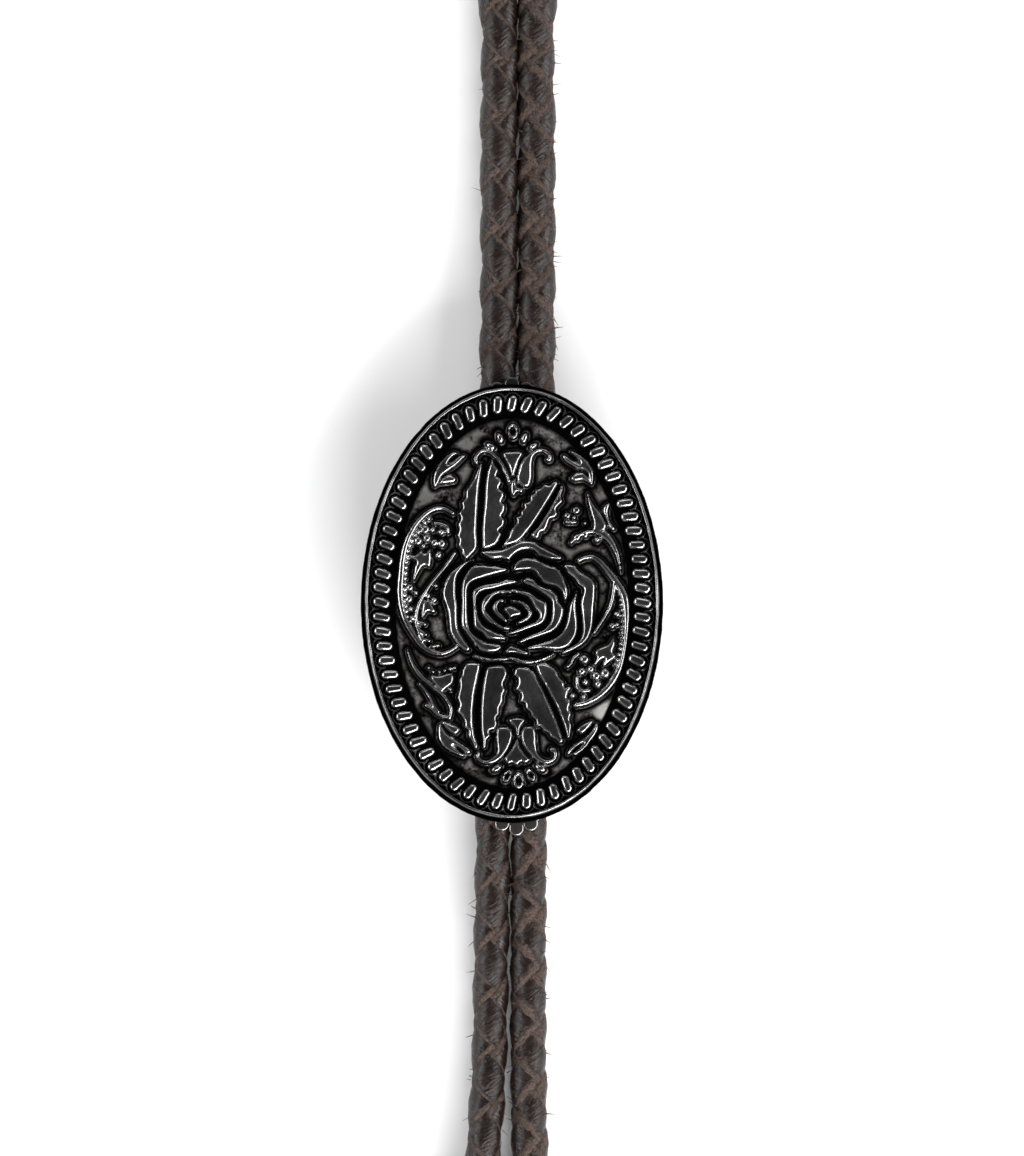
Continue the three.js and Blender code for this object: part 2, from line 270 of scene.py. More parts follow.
neckCord, _ = braidedCord("neck_cord_braid", neckRoute, (56, 30), 1.0, 1.6, 0.0)
leftEnd, leftPath = braidedCord("left_end_braid", leftEndRoute, (50, 60), 2.0, 0.0, 0.17)
rightEnd, rightPath = braidedCord("right_end_braid", rightEndRoute, (80, 72), 3.0, 2.4, 0.12)
print("cords braided:", len(neckCord.data.polygons), "faces round the neck")


# from a mesh in millimetres to a finished piece, with creases where it turns by more than an angle
def finishMesh(bm, name, sharp):
    bmesh.ops.scale(bm, vec=(mm, mm, mm), verts=bm.verts)
    bmesh.ops.recalc_face_normals(bm, faces=bm.faces)
    for face in bm.faces:
        face.smooth = True
    mesh = bpy.data.meshes.new(name)
    bm.to_mesh(mesh)
    bm.free()
    mesh.set_sharp_from_angle(angle=math.radians(sharp))
    return addPiece(name, mesh)


# ornament: the cast plate, its rope border and the relief

ornament = {
    "halfWidth": 16.9,
    "halfHeight": 24.6,
    "back": 6.5,                # level of the flat back
    "segments": 256,
    "ribs": 72,
    "ribLength": 2.1,
    "ribWidth": 1.12,
    "ribSlant": 13,             # degrees off the straight outward line
    "ribInset": 2.3,
    "ribLow": 1.0,
    "ribTop": 2.1,
    "ribRounding": 0.46,
    "scallopRadius": 0.86,      # arc round the outer end of each rib
    "scallopWire": 0.11,
    "scallopTop": 1.5,
    "scallopSweep": 190,        # degrees
    "scallopSteps": 9,
    "fieldInset": 3.75,
    "field": 1.3,               # level of the sandy ground over the back
    "spacing": 0.105,           # of the relief's surface
    "soft": 0.4,                # how far in from its outline a raised part is still rounding
    "crown": 0.13,              # how much more it rises towards its middle
    "fillet": 0.12,             # how far the ground climbs where it meets a raised part
    "filletReach": 0.25,
    "edgeDrop": 0.3,            # how far the ground rounds down at the rope border
    "edgeReach": 0.35,
    "base": 0.6,                # level of the relief's own hidden underside
}

# rings of the plate, from the middle of its back outwards and over the rim:
# how far in from the edge, height over the back, and how much of it is blackened recess
plateRings = [
    (0.95, 0.0, 0.6), (0.4, 0.05, 0.6), (0.12, 0.22, 0.6), (0.02, 0.5, 0.75), (0.0, 0.85, 0.85),
    (0.06, 1.2, 0.95), (0.2, 1.55, 1), (0.36, 1.85, 1), (0.48, 2.05, 0.9), (0.58, 2.2, 0.3),
    (0.68, 2.29, 0), (0.78, 2.25, 0), (0.86, 2.08, 0.2), (0.92, 1.75, 0.9), (0.98, 1.4, 1),
    (1.08, 1.2, 1), (1.35, 1.12, 1), (3.6, 1.12, 1), (3.9, 1.12, 1),
]


def scaleOval(bm, verts, fromInset, toInset, level):
    wide, high = ornament["halfWidth"], ornament["halfHeight"]
    factor = ((wide - toInset) / (wide - fromInset), (high - toInset) / (high - fromInset), 1)
    bmesh.ops.scale(bm, vec=factor, verts=verts)
    for vert in verts:
        vert.co.z = level


def makePlate(bm, recess):
    wide, high = ornament["halfWidth"], ornament["halfHeight"]
    inset = plateRings[0][0]
    made = bmesh.ops.create_circle(bm, cap_ends=True, radius=1, segments=ornament["segments"])["verts"]
    bmesh.ops.scale(bm, vec=(wide - inset, high - inset, 1), verts=made)
    edges = [e for e in bm.edges if e.is_boundary]
    for nextInset, nextLevel, nextDark in plateRings[1:]:
        grown = bmesh.ops.extrude_edge_only(bm, edges=edges)["geom"]
        verts = vertsOf(grown)
        edges = [e for e in bm.edges if e.is_boundary]
        scaleOval(bm, verts, inset, nextInset, nextLevel)
        for vert in verts:
            vert[recess] = nextDark
        inset = nextInset
    bmesh.ops.contextual_create(bm, geom=edges)
    for vert in bm.verts:  # slightly uneven, as cast
        bump = noise.noise(vert.co * 0.9) * 0.05 + noise.noise(vert.co * 2.4) * 0.03
        vert.co += Vector((vert.co.x, vert.co.y, 0)).normalized() * bump * (vert.co.z > 0.3)
        vert.co.z += noise.noise(vert.co * 1.3 + Vector((5, 0, 0))) * 0.05 * (vert.co.z > 2)


# evenly spaced places round an oval, with the outward direction at each
def roundOval(wide, high, count):
    angles = np.linspace(0, 2 * math.pi, 4001)
    line = np.stack([wide * np.cos(angles), high * np.sin(angles)], axis=1)
    along = lengthsAlong(line)
    places = np.arange(count) / count * along[-1]
    for angle in np.interp(places, along, angles):
        point = Vector((wide * math.cos(angle), high * math.sin(angle), 0))
        outward = math.atan2(math.sin(angle) * wide, math.cos(angle) * high)
        yield point, outward


# a thin raised arc round the outer end of a rib
def makeScallop(bm, reach):
    wire, sweep = ornament["scallopWire"], math.radians(ornament["scallopSweep"])
    ring = bmesh.ops.create_circle(bm, cap_ends=True, radius=wire, segments=6)["verts"]
    turnVerts(bm, ring, Matrix.Rotation(math.pi / 2, 3, "X"))
    bmesh.ops.translate(bm, verts=ring, vec=(ornament["scallopRadius"], 0, ornament["scallopTop"] - wire))
    turnVerts(bm, ring, Matrix.Rotation(-sweep / 2, 3, "Z"))
    before = set(bm.verts) - set(ring)
    face = ring[0].link_faces[0]
    bmesh.ops.spin(
        bm, geom=[face], cent=(0, 0, 0), axis=(0, 0, 1), angle=sweep, steps=ornament["scallopSteps"],
    )
    verts = [v for v in bm.verts if v not in before]
    bmesh.ops.translate(bm, verts=verts, vec=(reach, 0, 0))
    return verts


def makeRibs(bm, recess):
    inset = ornament["ribInset"]
    places = roundOval(ornament["halfWidth"] - inset, ornament["halfHeight"] - inset, ornament["ribs"])
    for number, (point, outward) in enumerate(places):
        rand = random.Random(number)
        length = ornament["ribLength"] * rand.uniform(0.93, 1.05)
        width = ornament["ribWidth"] * rand.uniform(0.92, 1.08)
        made = bmesh.ops.create_circle(bm, cap_ends=True, radius=width / 2, segments=16)["verts"]
        for vert in made:
            vert.co.x += math.copysign((length - width) / 2, vert.co.x)
            vert.co.z = ornament["ribLow"]
            vert[recess] = 1
        face = made[0].link_faces[0]
        grown = bmesh.ops.extrude_face_region(bm, geom=[face])["geom"]
        top = vertsOf(grown)
        for vert in top:
            vert.co.z = ornament["ribTop"]
            vert[recess] = 0
        edges = {e for v in top for e in v.link_edges if e.other_vert(v) in top}
        rounded = roundEdges(bm, list(edges), ornament["ribRounding"], 5)
        verts = set(made) | set(rounded["verts"])
        for vert in verts - set(made):
            vert[recess] = 0
        verts |= set(makeScallop(bm, (length - width) / 2))
        turn = outward - math.radians(ornament["ribSlant"] + rand.uniform(-4, 4))
        turnVerts(bm, list(verts), Matrix.Rotation(turn, 3, "Z"))
        bmesh.ops.translate(bm, verts=list(verts), vec=point)


# raised parts with an outline of their own, in millimetres from the middle of the ornament.
petals = {
    "outer left": [
        (-4.4, 4.8), (-5.2, 4.2), (-5.9, 3.3), (-6.2, 2.5), (-6.25, 1), (-6.1, -0.5), (-6.05, -2.4),
        (-5.8, -3.3), (-5.2, -4.3), (-4.65, -5.1), (-4.9, -5.5), (-5.6, -5.25), (-6.4, -4.4),
        (-6.95, -3.4), (-7.1, -2.3), (-7.25, -1), (-7.6, 0.1), (-7.8, 1), (-7.55, 2.2), (-7, 3.2),
        (-6.3, 3.8), (-5.5, 4.4),
    ],
    "left hook": [
        (-0.45, 3.7), (-1.6, 4.05), (-3.6, 4.25), (-4.5, 4), (-5.15, 3.2), (-5.55, 2.4), (-5.7, 1.2),
        (-5.65, 0), (-5.7, -1.5), (-5.65, -2.6), (-5.1, -3.5), (-4.2, -4.7), (-3.4, -5.4), (-2.2, -5.6),
        (-1.35, -5.35), (-1.2, -4.85), (-2.4, -4.5), (-3.1, -4.35), (-3.8, -3.9), (-4.5, -3.3),
        (-4.85, -2.5), (-4.95, -1), (-4.95, 1), (-4.8, 1.85), (-4.3, 2.35), (-3.4, 2.7), (-2, 3.1),
        (-0.9, 3.4),
    ],
    "left ring": [
        (0.7, 2.4), (-0.5, 2.6), (-1.5, 2.25), (-3, 2), (-4.1, 1.6), (-4.45, 1), (-4.4, 0), (-4.35, -1),
        (-4.3, -2.5), (-4, -3), (-3.3, -3.45), (-2.6, -4.1), (-0.8, -4.2), (-0.75, -3.85), (-1.3, -3.5),
        (-2.2, -3.1), (-3.2, -2.5), (-3.8, -1.4), (-3.95, -0.4), (-3.95, 0.4), (-3.6, 1), (-3.1, 1.3),
        (-2, 1.5), (-0.9, 1.85), (0.6, 2.15),
    ],
    "left inner": [
        (-0.2, 1.35), (-1.5, 1.35), (-2.6, 1), (-3.3, 0.3), (-3.5, -0.5), (-3.3, -1.4), (-2.6, -2.25),
        (-1.8, -2.6), (-1.2, -3), (-0.3, -3.05), (-0.3, -2.75), (-1.2, -2.55), (-2, -1.9), (-2.75, -1.1),
        (-2.9, -0.6), (-2.5, 0.05), (-1.9, 0.75), (-1.1, 1), (-0.1, 0.95),
    ],
    "right inner": [
        (-0.1, 1.5), (1, 1.35), (2, 1.15), (2.8, 0.55), (3.5, 0.2), (3.85, -0.1), (3.95, -1), (3.7, -2),
        (3.2, -2.5), (2, -2.9), (0.6, -3.45), (-0.4, -3.6), (-0.35, -3.3), (0.5, -3), (1.8, -2.5),
        (2.7, -2.05), (3.05, -1.5), (2.9, -1), (2.4, -0.45), (2.05, 0.3), (1.55, 0.75), (0.7, 1),
        (0.1, 1.1),
    ],
    "bud right": [
        (0.05, 0.3), (0.9, 0.25), (1.6, -0.1), (2.1, -0.7), (2.35, -1.2), (2.1, -1.75), (1.5, -2.2),
        (0.7, -2.45), (0.75, -2.1), (1.4, -1.7), (1.75, -1.2), (1.45, -0.75), (1, -0.25), (0.2, 0),
    ],
    "bud left": [
        (-0.9, 0.3), (-1.6, 0.3), (-2.05, -0.1), (-2.25, -0.8), (-1.75, -1.5), (-1.1, -2.05),
        (-0.6, -2.3), (-0.5, -2), (-0.9, -1.5), (-1.4, -1), (-1.55, -0.5), (-1.35, -0.1), (-0.95, 0),
    ],
    "bud": [
        (-0.95, -0.75), (-0.3, -0.35), (0.5, -0.6), (1, -1), (1, -1.45), (0.3, -1.6), (-0.2, -1.8),
        (-0.6, -1.3),
    ],
    "right ring": [
        (1.2, 2.55), (1.7, 2.8), (2.4, 2.6), (3, 2), (4.2, 1.5), (4.9, 1), (5.3, 0), (5.75, -0.6),
        (5.7, -1.6), (5.2, -2.7), (4.4, -3.35), (3, -3.85), (1.9, -4.2), (0.9, -4.6), (0.95, -4.2),
        (2, -3.7), (3.4, -3.1), (4.1, -2.4), (4.4, -1.6), (4.45, -0.6), (4.35, 0.2), (3.95, 0.7),
        (3, 1.3), (2.2, 1.8), (1.3, 2.15),
    ],
    "upper right": [
        (0.15, 4), (0.6, 4.6), (1.3, 4.95), (2.2, 5), (3, 4.75), (4, 4.2), (5, 3.9), (5.6, 3.2), (6, 2.3),
        (6.25, 1.5), (6.25, 0.7), (5.95, 0.2), (5.7, 0.6), (5.5, 1.25), (4.9, 1.75), (4.1, 1.95),
        (3.35, 2.35), (2.85, 3), (2.3, 3.6), (1.3, 3.6), (0.8, 3.55), (0.2, 3.5),
    ],
    "top": [
        (-3.3, 5.75), (-2, 5.85), (-1, 6), (0, 6.45), (1, 6.9), (2.2, 6.9), (3.2, 6.35), (4.4, 5.75),
        (5.5, 5.15), (5.5, 4.8), (4.9, 4.75), (4, 4.85), (3, 5.25), (2.3, 5.85), (1.2, 5.85), (0.5, 5.5),
        (0, 5.05), (-0.35, 4.75), (-1.2, 4.9), (-2.2, 4.85), (-3.2, 5.35),
    ],
    "outer right": [
        (5.75, 4.2), (6.8, 4.25), (7.6, 3.5), (8.6, 2.95), (9.2, 2.35), (9.35, 1.4), (9.2, -0.5),
        (9.05, -2.5), (8.75, -3.7), (8.1, -4.6), (7.2, -5.15), (5.7, -5.8), (5.65, -5.45), (6.8, -4.85),
        (7.5, -4.2), (7.85, -3.2), (7.75, -1.5), (7.65, 0), (7.95, 1.45), (7.45, 1.95), (6.85, 2.8),
        (6.15, 3.4),
    ],
    "right crescent": [
        (7.25, 1.15), (7.15, -0.5), (7.35, -2.2), (7.25, -3.5), (6.8, -4.4), (6.1, -5.05), (5, -5.3),
        (3.2, -5.2), (1.75, -5.3), (1.85, -4.95), (3, -4.6), (4.5, -4.1), (5.4, -3.5), (6, -2.4),
        (6.25, -1.2), (6.4, -0.3), (6.85, 0.5),
    ],
    "bottom": [
        (-0.75, -5.4), (-0.2, -4.8), (0.7, -5.1), (1.8, -5.6), (1.6, -5.9), (0.3, -5.7), (-0.6, -5.7),
    ],
}

leafHalves = {
    "top left, outer": [
        (-3.4, 15.7), (-3.35, 15.1), (-3.5, 14), (-3.7, 12.5), (-3.85, 10), (-3.95, 8), (-3.9, 6.2),
        (-4.4, 5.4), (-5.1, 4.85), (-5.5, 5.2), (-5.7, 5.9), (-6.05, 6.4), (-5.95, 7), (-6.15, 7.5),
        (-5.95, 8.2), (-6.1, 8.8), (-5.8, 9.4), (-6, 10), (-5.6, 10.6), (-5.7, 11.2), (-5.25, 11.8),
        (-5.2, 12.5), (-4.8, 13.1), (-4.3, 13.9), (-3.95, 14.8),
    ],
    "top left, inner": [
        (-2.2, 16), (-2.5, 15.5), (-2.8, 14.5), (-3, 13), (-3.1, 11), (-3.3, 9), (-3.35, 7.5),
        (-3.3, 6.3), (-3.1, 6), (-2.4, 6.15), (-1.7, 6.55), (-1.25, 7.3), (-1.15, 7.8), (-1.4, 8.1),
        (-0.9, 8.6), (-0.8, 9.3), (-1.1, 9.7), (-0.8, 10.2), (-0.75, 10.9), (-1.1, 11.3), (-0.85, 11.9),
        (-1, 12.5), (-1.4, 12.8), (-1.15, 13.4), (-1.4, 14), (-1.7, 14.2), (-1.5, 14.8), (-1.8, 15.3),
    ],
    "top right, upper": [
        (-0.95, 6.35), (0.3, 6.6), (1, 7), (1.6, 7.7), (2.5, 8.9), (3.4, 10.3), (4.2, 11.6), (4.85, 12.7),
        (5.2, 13.4), (4.9, 13.65), (4.5, 13.5), (4.2, 13.2), (3.6, 13.3), (3.2, 12.9), (2.6, 12.65),
        (2.45, 12.2), (2, 12), (1.95, 11.4), (1.3, 11.15), (1.3, 10.6), (0.9, 10.2), (0.9, 9.8),
        (0.4, 9.6), (0.45, 9), (0, 8.4), (-0.45, 7.4),
    ],
    "top right, lower": [
        (2.15, 7.6), (3, 8.6), (4, 10.2), (4.9, 11.8), (5.4, 12.95), (5.65, 13.2), (5.75, 12.6),
        (5.55, 12), (5.7, 11.3), (5.35, 10.9), (5, 10.5), (5.15, 9.9), (4.8, 9.45), (4.3, 9.3),
        (4.05, 8.6), (3.7, 8), (3.2, 7.8), (3, 7.25), (2.5, 7.2),
    ],
    "bottom left, outer": [
        (-3.55, -7), (-3.8, -8.5), (-4.1, -10), (-4.3, -12), (-4.3, -13.5), (-4.1, -15), (-3.8, -16.1),
        (-4.1, -16.3), (-4.5, -15.5), (-4.9, -15), (-4.9, -14.4), (-5.3, -13.9), (-5.35, -13.3),
        (-5.7, -12.7), (-6.1, -12), (-5.9, -11.4), (-6.15, -10.7), (-6, -10), (-5.85, -9.2),
        (-5.95, -8.6), (-5.65, -8), (-5.55, -7.4), (-5.1, -6.8), (-4.3, -6.7),
    ],
    "bottom left, inner": [
        (-2.8, -7.35), (-2.2, -7.05), (-1.2, -7.05), (-0.75, -7.3), (-0.5, -7.9), (-0.65, -8.5),
        (-0.9, -9.1), (-0.7, -9.8), (-0.95, -10.4), (-1, -11.1), (-1.35, -11.8), (-1.4, -12.5),
        (-1.7, -12.9), (-1.6, -13.6), (-1.9, -14.2), (-2.45, -14.4), (-2.4, -15), (-2.8, -15.4),
        (-2.9, -16.15), (-3.2, -16.2), (-3.3, -15.3), (-3.5, -14), (-3.5, -12), (-3.4, -10.5), (-3.2, -9),
        (-3, -7.9),
    ],
    "bottom right, inner": [
        (0.35, -7.35), (1, -7.15), (1.9, -7.35), (2.5, -7.9), (3, -8.8), (3.7, -10.2), (4.5, -12),
        (5.1, -13.5), (5.5, -14.6), (5.75, -15.55), (5.3, -15.75), (4.8, -15.3), (4.3, -15.1), (4, -14.6),
        (3.5, -14.3), (3.2, -13.9), (2.7, -13.9), (2.6, -13.2), (2.2, -12.8), (1.9, -12.2), (1.5, -11.9),
        (1.4, -11.3), (0.9, -11.1), (1, -10.5), (0.8, -10), (0.35, -9.7), (0.6, -9.1), (0.6, -8.5),
        (0.2, -8.1),
    ],
    "bottom right, outer": [
        (2.7, -6.95), (3.6, -6.75), (4.4, -7.1), (5, -7.6), (5.3, -8.3), (5.8, -8.8), (5.95, -9.4),
        (6.35, -9.9), (6.2, -10.6), (6.55, -11.2), (6.4, -11.9), (6.65, -12.5), (6.5, -13.1),
        (6.7, -13.7), (6.6, -14.5), (6.45, -15.1), (6.15, -15.1), (5.9, -14.3), (5.5, -13.1), (5, -11.8),
        (4.3, -10.4), (3.5, -9), (2.9, -7.9),
    ],
}

smallShapes = {
    "tulip heart, top": [
        (-1.05, 16.65), (0, 16.95), (1.15, 16.8), (0.75, 15.8), (0.3, 14.5), (0, 14.25), (-0.4, 15.3),
    ],
    "tulip right, top": [
        (0.55, 13.8), (0.7, 14.6), (1, 15.6), (1.6, 16.4), (2.3, 16.95), (3.2, 17.3), (4, 17.1),
        (4.45, 16.5), (4.4, 15.9), (4, 15.8), (3.8, 16.1), (4.05, 16.3), (3.7, 16.75), (3, 16.85),
        (2.4, 16.3), (2.2, 15.2), (2.2, 14), (1.95, 13.1), (1.4, 12.95), (0.85, 13.3),
    ],
    "tulip foot, top": [
        (-0.15, 13.3), (0.3, 13.8), (0.55, 13), (1.15, 12.7), (1.1, 12.3), (0.6, 12.4), (0.2, 11.95),
        (-0.1, 12.3),
    ],
    "tulip left, bottom": [
        (-1.7, -14.2), (-1, -13.85), (-0.2, -14.1), (0.05, -14.8), (-0.1, -15.6), (-0.5, -16.5),
        (-1.2, -17.4), (-2, -17.95), (-3, -18.05), (-3.8, -17.7), (-4.05, -17.1), (-3.75, -16.7),
        (-3.5, -16.9), (-3.6, -17.2), (-3.1, -17.6), (-2.3, -17.4), (-1.7, -16.7), (-1.75, -15.4),
    ],
    "tulip right, bottom": [
        (1.1, -14.3), (1.7, -13.85), (2.4, -13.95), (2.65, -14.8), (2.7, -15.8), (2.85, -16.7),
        (3.3, -17.3), (4, -17.55), (4.55, -17.3), (4.6, -16.8), (4.2, -16.6), (4.3, -16.2), (4.85, -16.3),
        (5.1, -17), (4.7, -17.75), (3.8, -18.05), (2.8, -17.7), (2, -17), (1.4, -16.2), (1.05, -15.3),
    ],
    "tulip heart, bottom": [
        (-0.35, -13.15), (0.55, -12.85), (1.45, -13.1), (1, -13.9), (0.65, -14.9), (0.25, -13.9),
    ],
    "bell, bottom": [
        (0.6, -15.3), (0.9, -16.2), (1.5, -17), (2, -17.6), (1.5, -17.95), (1, -17.8), (0.6, -18.15),
        (0, -17.9), (-0.4, -18.05), (-0.8, -17.5), (-0.2, -16.6), (0.3, -15.8),
    ],
    "corner leaf, top left": [
        (-8.75, 13), (-8.8, 14.2), (-8.2, 15.5), (-7.4, 16.4), (-6.7, 16.85), (-6.1, 16.75), (-6.8, 16.2),
        (-7.2, 15.5), (-6.5, 15.9), (-5.7, 16.5), (-5.2, 16.45), (-5.6, 16), (-6.3, 15.3), (-7.1, 14.75),
        (-7.8, 14.2), (-8.3, 13.2),
    ],
    "corner lobe, top left": [
        (-8.1, 13.3), (-7.6, 14.05), (-6.9, 14.3), (-6.35, 14), (-6.35, 13.55), (-7, 13.4),
    ],
    "corner leaf, top right": [
        (6.55, 16.95), (7.4, 16.65), (8.4, 16), (9, 15.2), (9.15, 14.2), (9, 13.25), (8.65, 13.4),
        (8.5, 14.3), (8.1, 14.8), (7.3, 15), (6.6, 15.4), (5.9, 15.9), (5.65, 16.5), (6.1, 16.4),
        (6.8, 15.9), (7.6, 15.55), (7.3, 16.2),
    ],
    "corner lobe, top right": [
        (6.55, 13.9), (7, 14.4), (7.9, 14.6), (8.4, 14), (8.7, 13.4), (7.9, 13.7), (7, 13.6),
    ],
    "corner leaf, bottom left": [
        (-8.15, -13.6), (-8.25, -15), (-7.8, -15.95), (-7, -16.6), (-6, -17.05), (-5.3, -17.15),
        (-5.9, -16.6), (-6.6, -16), (-5.9, -16.2), (-5.2, -16.8), (-4.65, -16.85), (-4.8, -16.4),
        (-5.6, -15.8), (-6.5, -15.2), (-7.3, -14.6), (-7.8, -13.9),
    ],
    "corner lobe, bottom left": [
        (-7.8, -13.35), (-7, -13.5), (-6.1, -13.9), (-5.85, -14.3), (-6.3, -14.7), (-7, -14.4),
    ],
    "corner leaf, bottom right": [
        (9.45, -13.5), (9.7, -14.4), (9.5, -15.3), (8.8, -16.1), (7.9, -16.6), (7, -17.1), (6.9, -16.8),
        (7.6, -16.2), (8, -15.6), (7.2, -16.1), (6.5, -16.8), (6.15, -16.95), (6.5, -16.2), (7.3, -15.6),
        (8.3, -15), (8.9, -14.4),
    ],
    "corner lobe, bottom right": [
        (9, -13.3), (8.4, -13.35), (7.6, -13.8), (7.25, -14.3), (7.8, -14.65), (8.4, -14.2),
    ],
    "star leaf, left": [
        (-9.1, 5.9), (-9.1, 4.15), (-9.9, 4.1), (-10.5, 3.2), (-11.05, 2.4), (-10.9, 3.9), (-10.7, 4.6),
        (-11.6, 5.3), (-10.8, 5.3), (-10.2, 5.8), (-9.7, 5.5),
    ],
    "small star, left": [
        (-10, -0.1), (-9.3, 0.35), (-9, -0.1), (-8.6, -1.1), (-9.4, -1), (-10, -1.7),
    ],
    "bell flower, left": [
        (-9.1, -8.2), (-8, -8.15), (-7, -7.9), (-6.5, -8.2), (-6.6, -9), (-7.2, -9.5), (-7.8, -9.9),
        (-8.6, -9.2),
    ],
    "star leaf, right": [
        (11.3, -3.9), (10.7, -4.7), (9.7, -5.1), (9.25, -5.6), (9.45, -6.2), (9.2, -7), (9.9, -6.4),
        (10.35, -6.3), (10.2, -7.1), (10.8, -6.7), (11.6, -6.1), (11.25, -5.5), (11.5, -4.7),
    ],
    "bell flower, right": [
        (8.45, 12.3), (8.95, 11.3), (9.7, 10.2), (10.3, 9.2), (10.55, 8.5), (10.2, 8), (9.6, 7.8),
        (9.05, 8.05), (9.1, 8.9), (8.8, 10), (8.5, 11.2),
    ],
    "bell flower side, right": [
        (10.95, 11.1), (10.35, 10.9), (10.15, 10.2), (10.5, 9.4), (10.9, 8.6), (11.15, 8.2), (11.5, 8.2),
        (11.05, 8.9), (10.8, 9.6), (10.75, 10.3),
    ],
}

# raised lines: their course, and the width at the start, middle and end.
strokes = [
    ([
        (-4.1, -6), (-2.5, -6.4), (-1, -6.35), (0, -6.3), (1.4, -6.65), (2.6, -6.6), (3.8, -6.2),
        (4.6, -5.8),
    ], (0.3, 0.42, 0.25)),
    ([
        (-4, 15.75), (-4.05, 16.2), (-3.7, 16.75), (-3.2, 17), (-2.4, 16.85), (-1.75, 16.3),
        (-1.15, 15.5), (-0.7, 14.6), (-0.35, 13.6),
    ], (0.55, 0.45, 0.4)),
    ([
        (-6.6, 10), (-7.5, 10.5), (-8.4, 10.55), (-9.3, 10.15), (-10.2, 9.4), (-11.1, 8.2), (-11.8, 6.7),
        (-12.2, 5), (-12.4, 3), (-12.5, 1), (-12.3, -0.7), (-11.8, -2.2), (-11, -3.6), (-10, -4.9),
        (-8.9, -5.55), (-7.8, -5.7), (-6.9, -5.4), (-6.2, -4.95),
    ], (0.45, 0.72, 0.45)),
    ([
        (-6.4, 5.5), (-7.4, 4.1), (-8.5, 2.8), (-9.4, 1.6), (-10.1, 0.4), (-10.6, -0.9), (-10.7, -2.2),
        (-10.4, -3.3), (-10, -4.3),
    ], (0.4, 0.45, 0.5)),
    ([
        (-11.65, -5.3), (-11.3, -6.4), (-10.8, -7.4), (-10.1, -8.3), (-9.3, -9), (-8.6, -9.6),
    ], (0.3, 0.55, 0.4)),
    ([(-10.3, -9.1), (-9.7, -9.8), (-9.2, -10.6), (-8.7, -11.6), (-8.2, -12.2)], (0.3, 0.42, 0.3)),
    ([(-8.8, -9.4), (-7.9, -10.1), (-7.2, -11), (-6.8, -12), (-6.95, -12.9)], (0.4, 0.45, 0.45)),
    ([(-9.6, -11.5), (-8.9, -11.9), (-8.3, -12.5), (-7.5, -12.75), (-6.95, -12.8)], (0.4, 0.42, 0.4)),
    ([
        (7.5, 4.75), (8.2, 5.05), (9, 5.1), (9.8, 4.6), (10.5, 3.8), (11.2, 2.9), (11.9, 2), (12.5, 0.8),
        (12.85, -0.7), (12.95, -2.3), (12.9, -3.9), (12.7, -5.4), (12.3, -6.8), (11.7, -8), (11, -9.1),
        (10.1, -10.1), (9.1, -10.8), (8.1, -11.25), (7.2, -11.45),
    ], (0.5, 0.85, 0.55)),
    ([(11.5, 2.6), (11.3, 1), (11.05, -0.2), (10.5, -1.3), (9.9, -2.3), (9.2, -3.4)], (0.5, 0.5, 0.35)),
    ([(10.2, 7.7), (11, 6.9), (11.6, 5.8), (11.95, 4.6), (12.15, 3.4)], (0.8, 0.6, 0.25)),
    ([(10, 7.7), (9, 7.95), (8, 7.75), (7.2, 7.3), (6.6, 6.7)], (0.5, 0.5, 0.35)),
    ([(7.45, -5.75), (6.9, -6.2), (6.6, -6.8), (6.2, -7.2)], (0.35, 0.4, 0.35)),
    ([(7.25, -8.4), (7.3, -9.3), (7.8, -9.85), (8.6, -9.85)], (0.45, 0.5, 0.45)),
    ([(-8.6, 8.9), (-7.8, 8.75), (-7.2, 8.4), (-7.15, 7.9)], (0.4, 0.5, 0.45)),
    ([(6.1, 9), (7.1, 9)], (0.4, 0.45, 0.4)),
    ([(-10.35, -2.2), (-9.7, -2.45)], (0.4, 0.42, 0.4)),
    ([(-10.2, -3.2), (-9.6, -3.6)], (0.4, 0.42, 0.4)),
    ([(-9.9, -4.1), (-9.2, -4.3)], (0.35, 0.4, 0.35)),
    ([(-9.1, -4.95), (-8.2, -4.8)], (0.35, 0.42, 0.4)),
]

# drops of the two palmettes: middle, half length, half width, turn in degrees, and whether hollowed.
drops = [
    (0.1, 19.2, 1.0, 0.68, 90, 1), (-1.35, 18.45, 0.75, 0.45, 110, 0), (1.4, 18.45, 0.75, 0.45, 70, 0),
    (-2.4, 17.5, 0.7, 0.4, 145, 0), (2.4, 17.55, 0.7, 0.4, 35, 0),
    (0.75, -19.9, 1.1, 0.68, 90, 1), (-0.55, -19.4, 0.85, 0.5, 62, 1), (2.1, -19.25, 0.85, 0.5, 118, 1),
    (-1.75, -18.55, 0.8, 0.45, 25, 0), (3.15, -18.5, 0.8, 0.45, 150, 0),
]

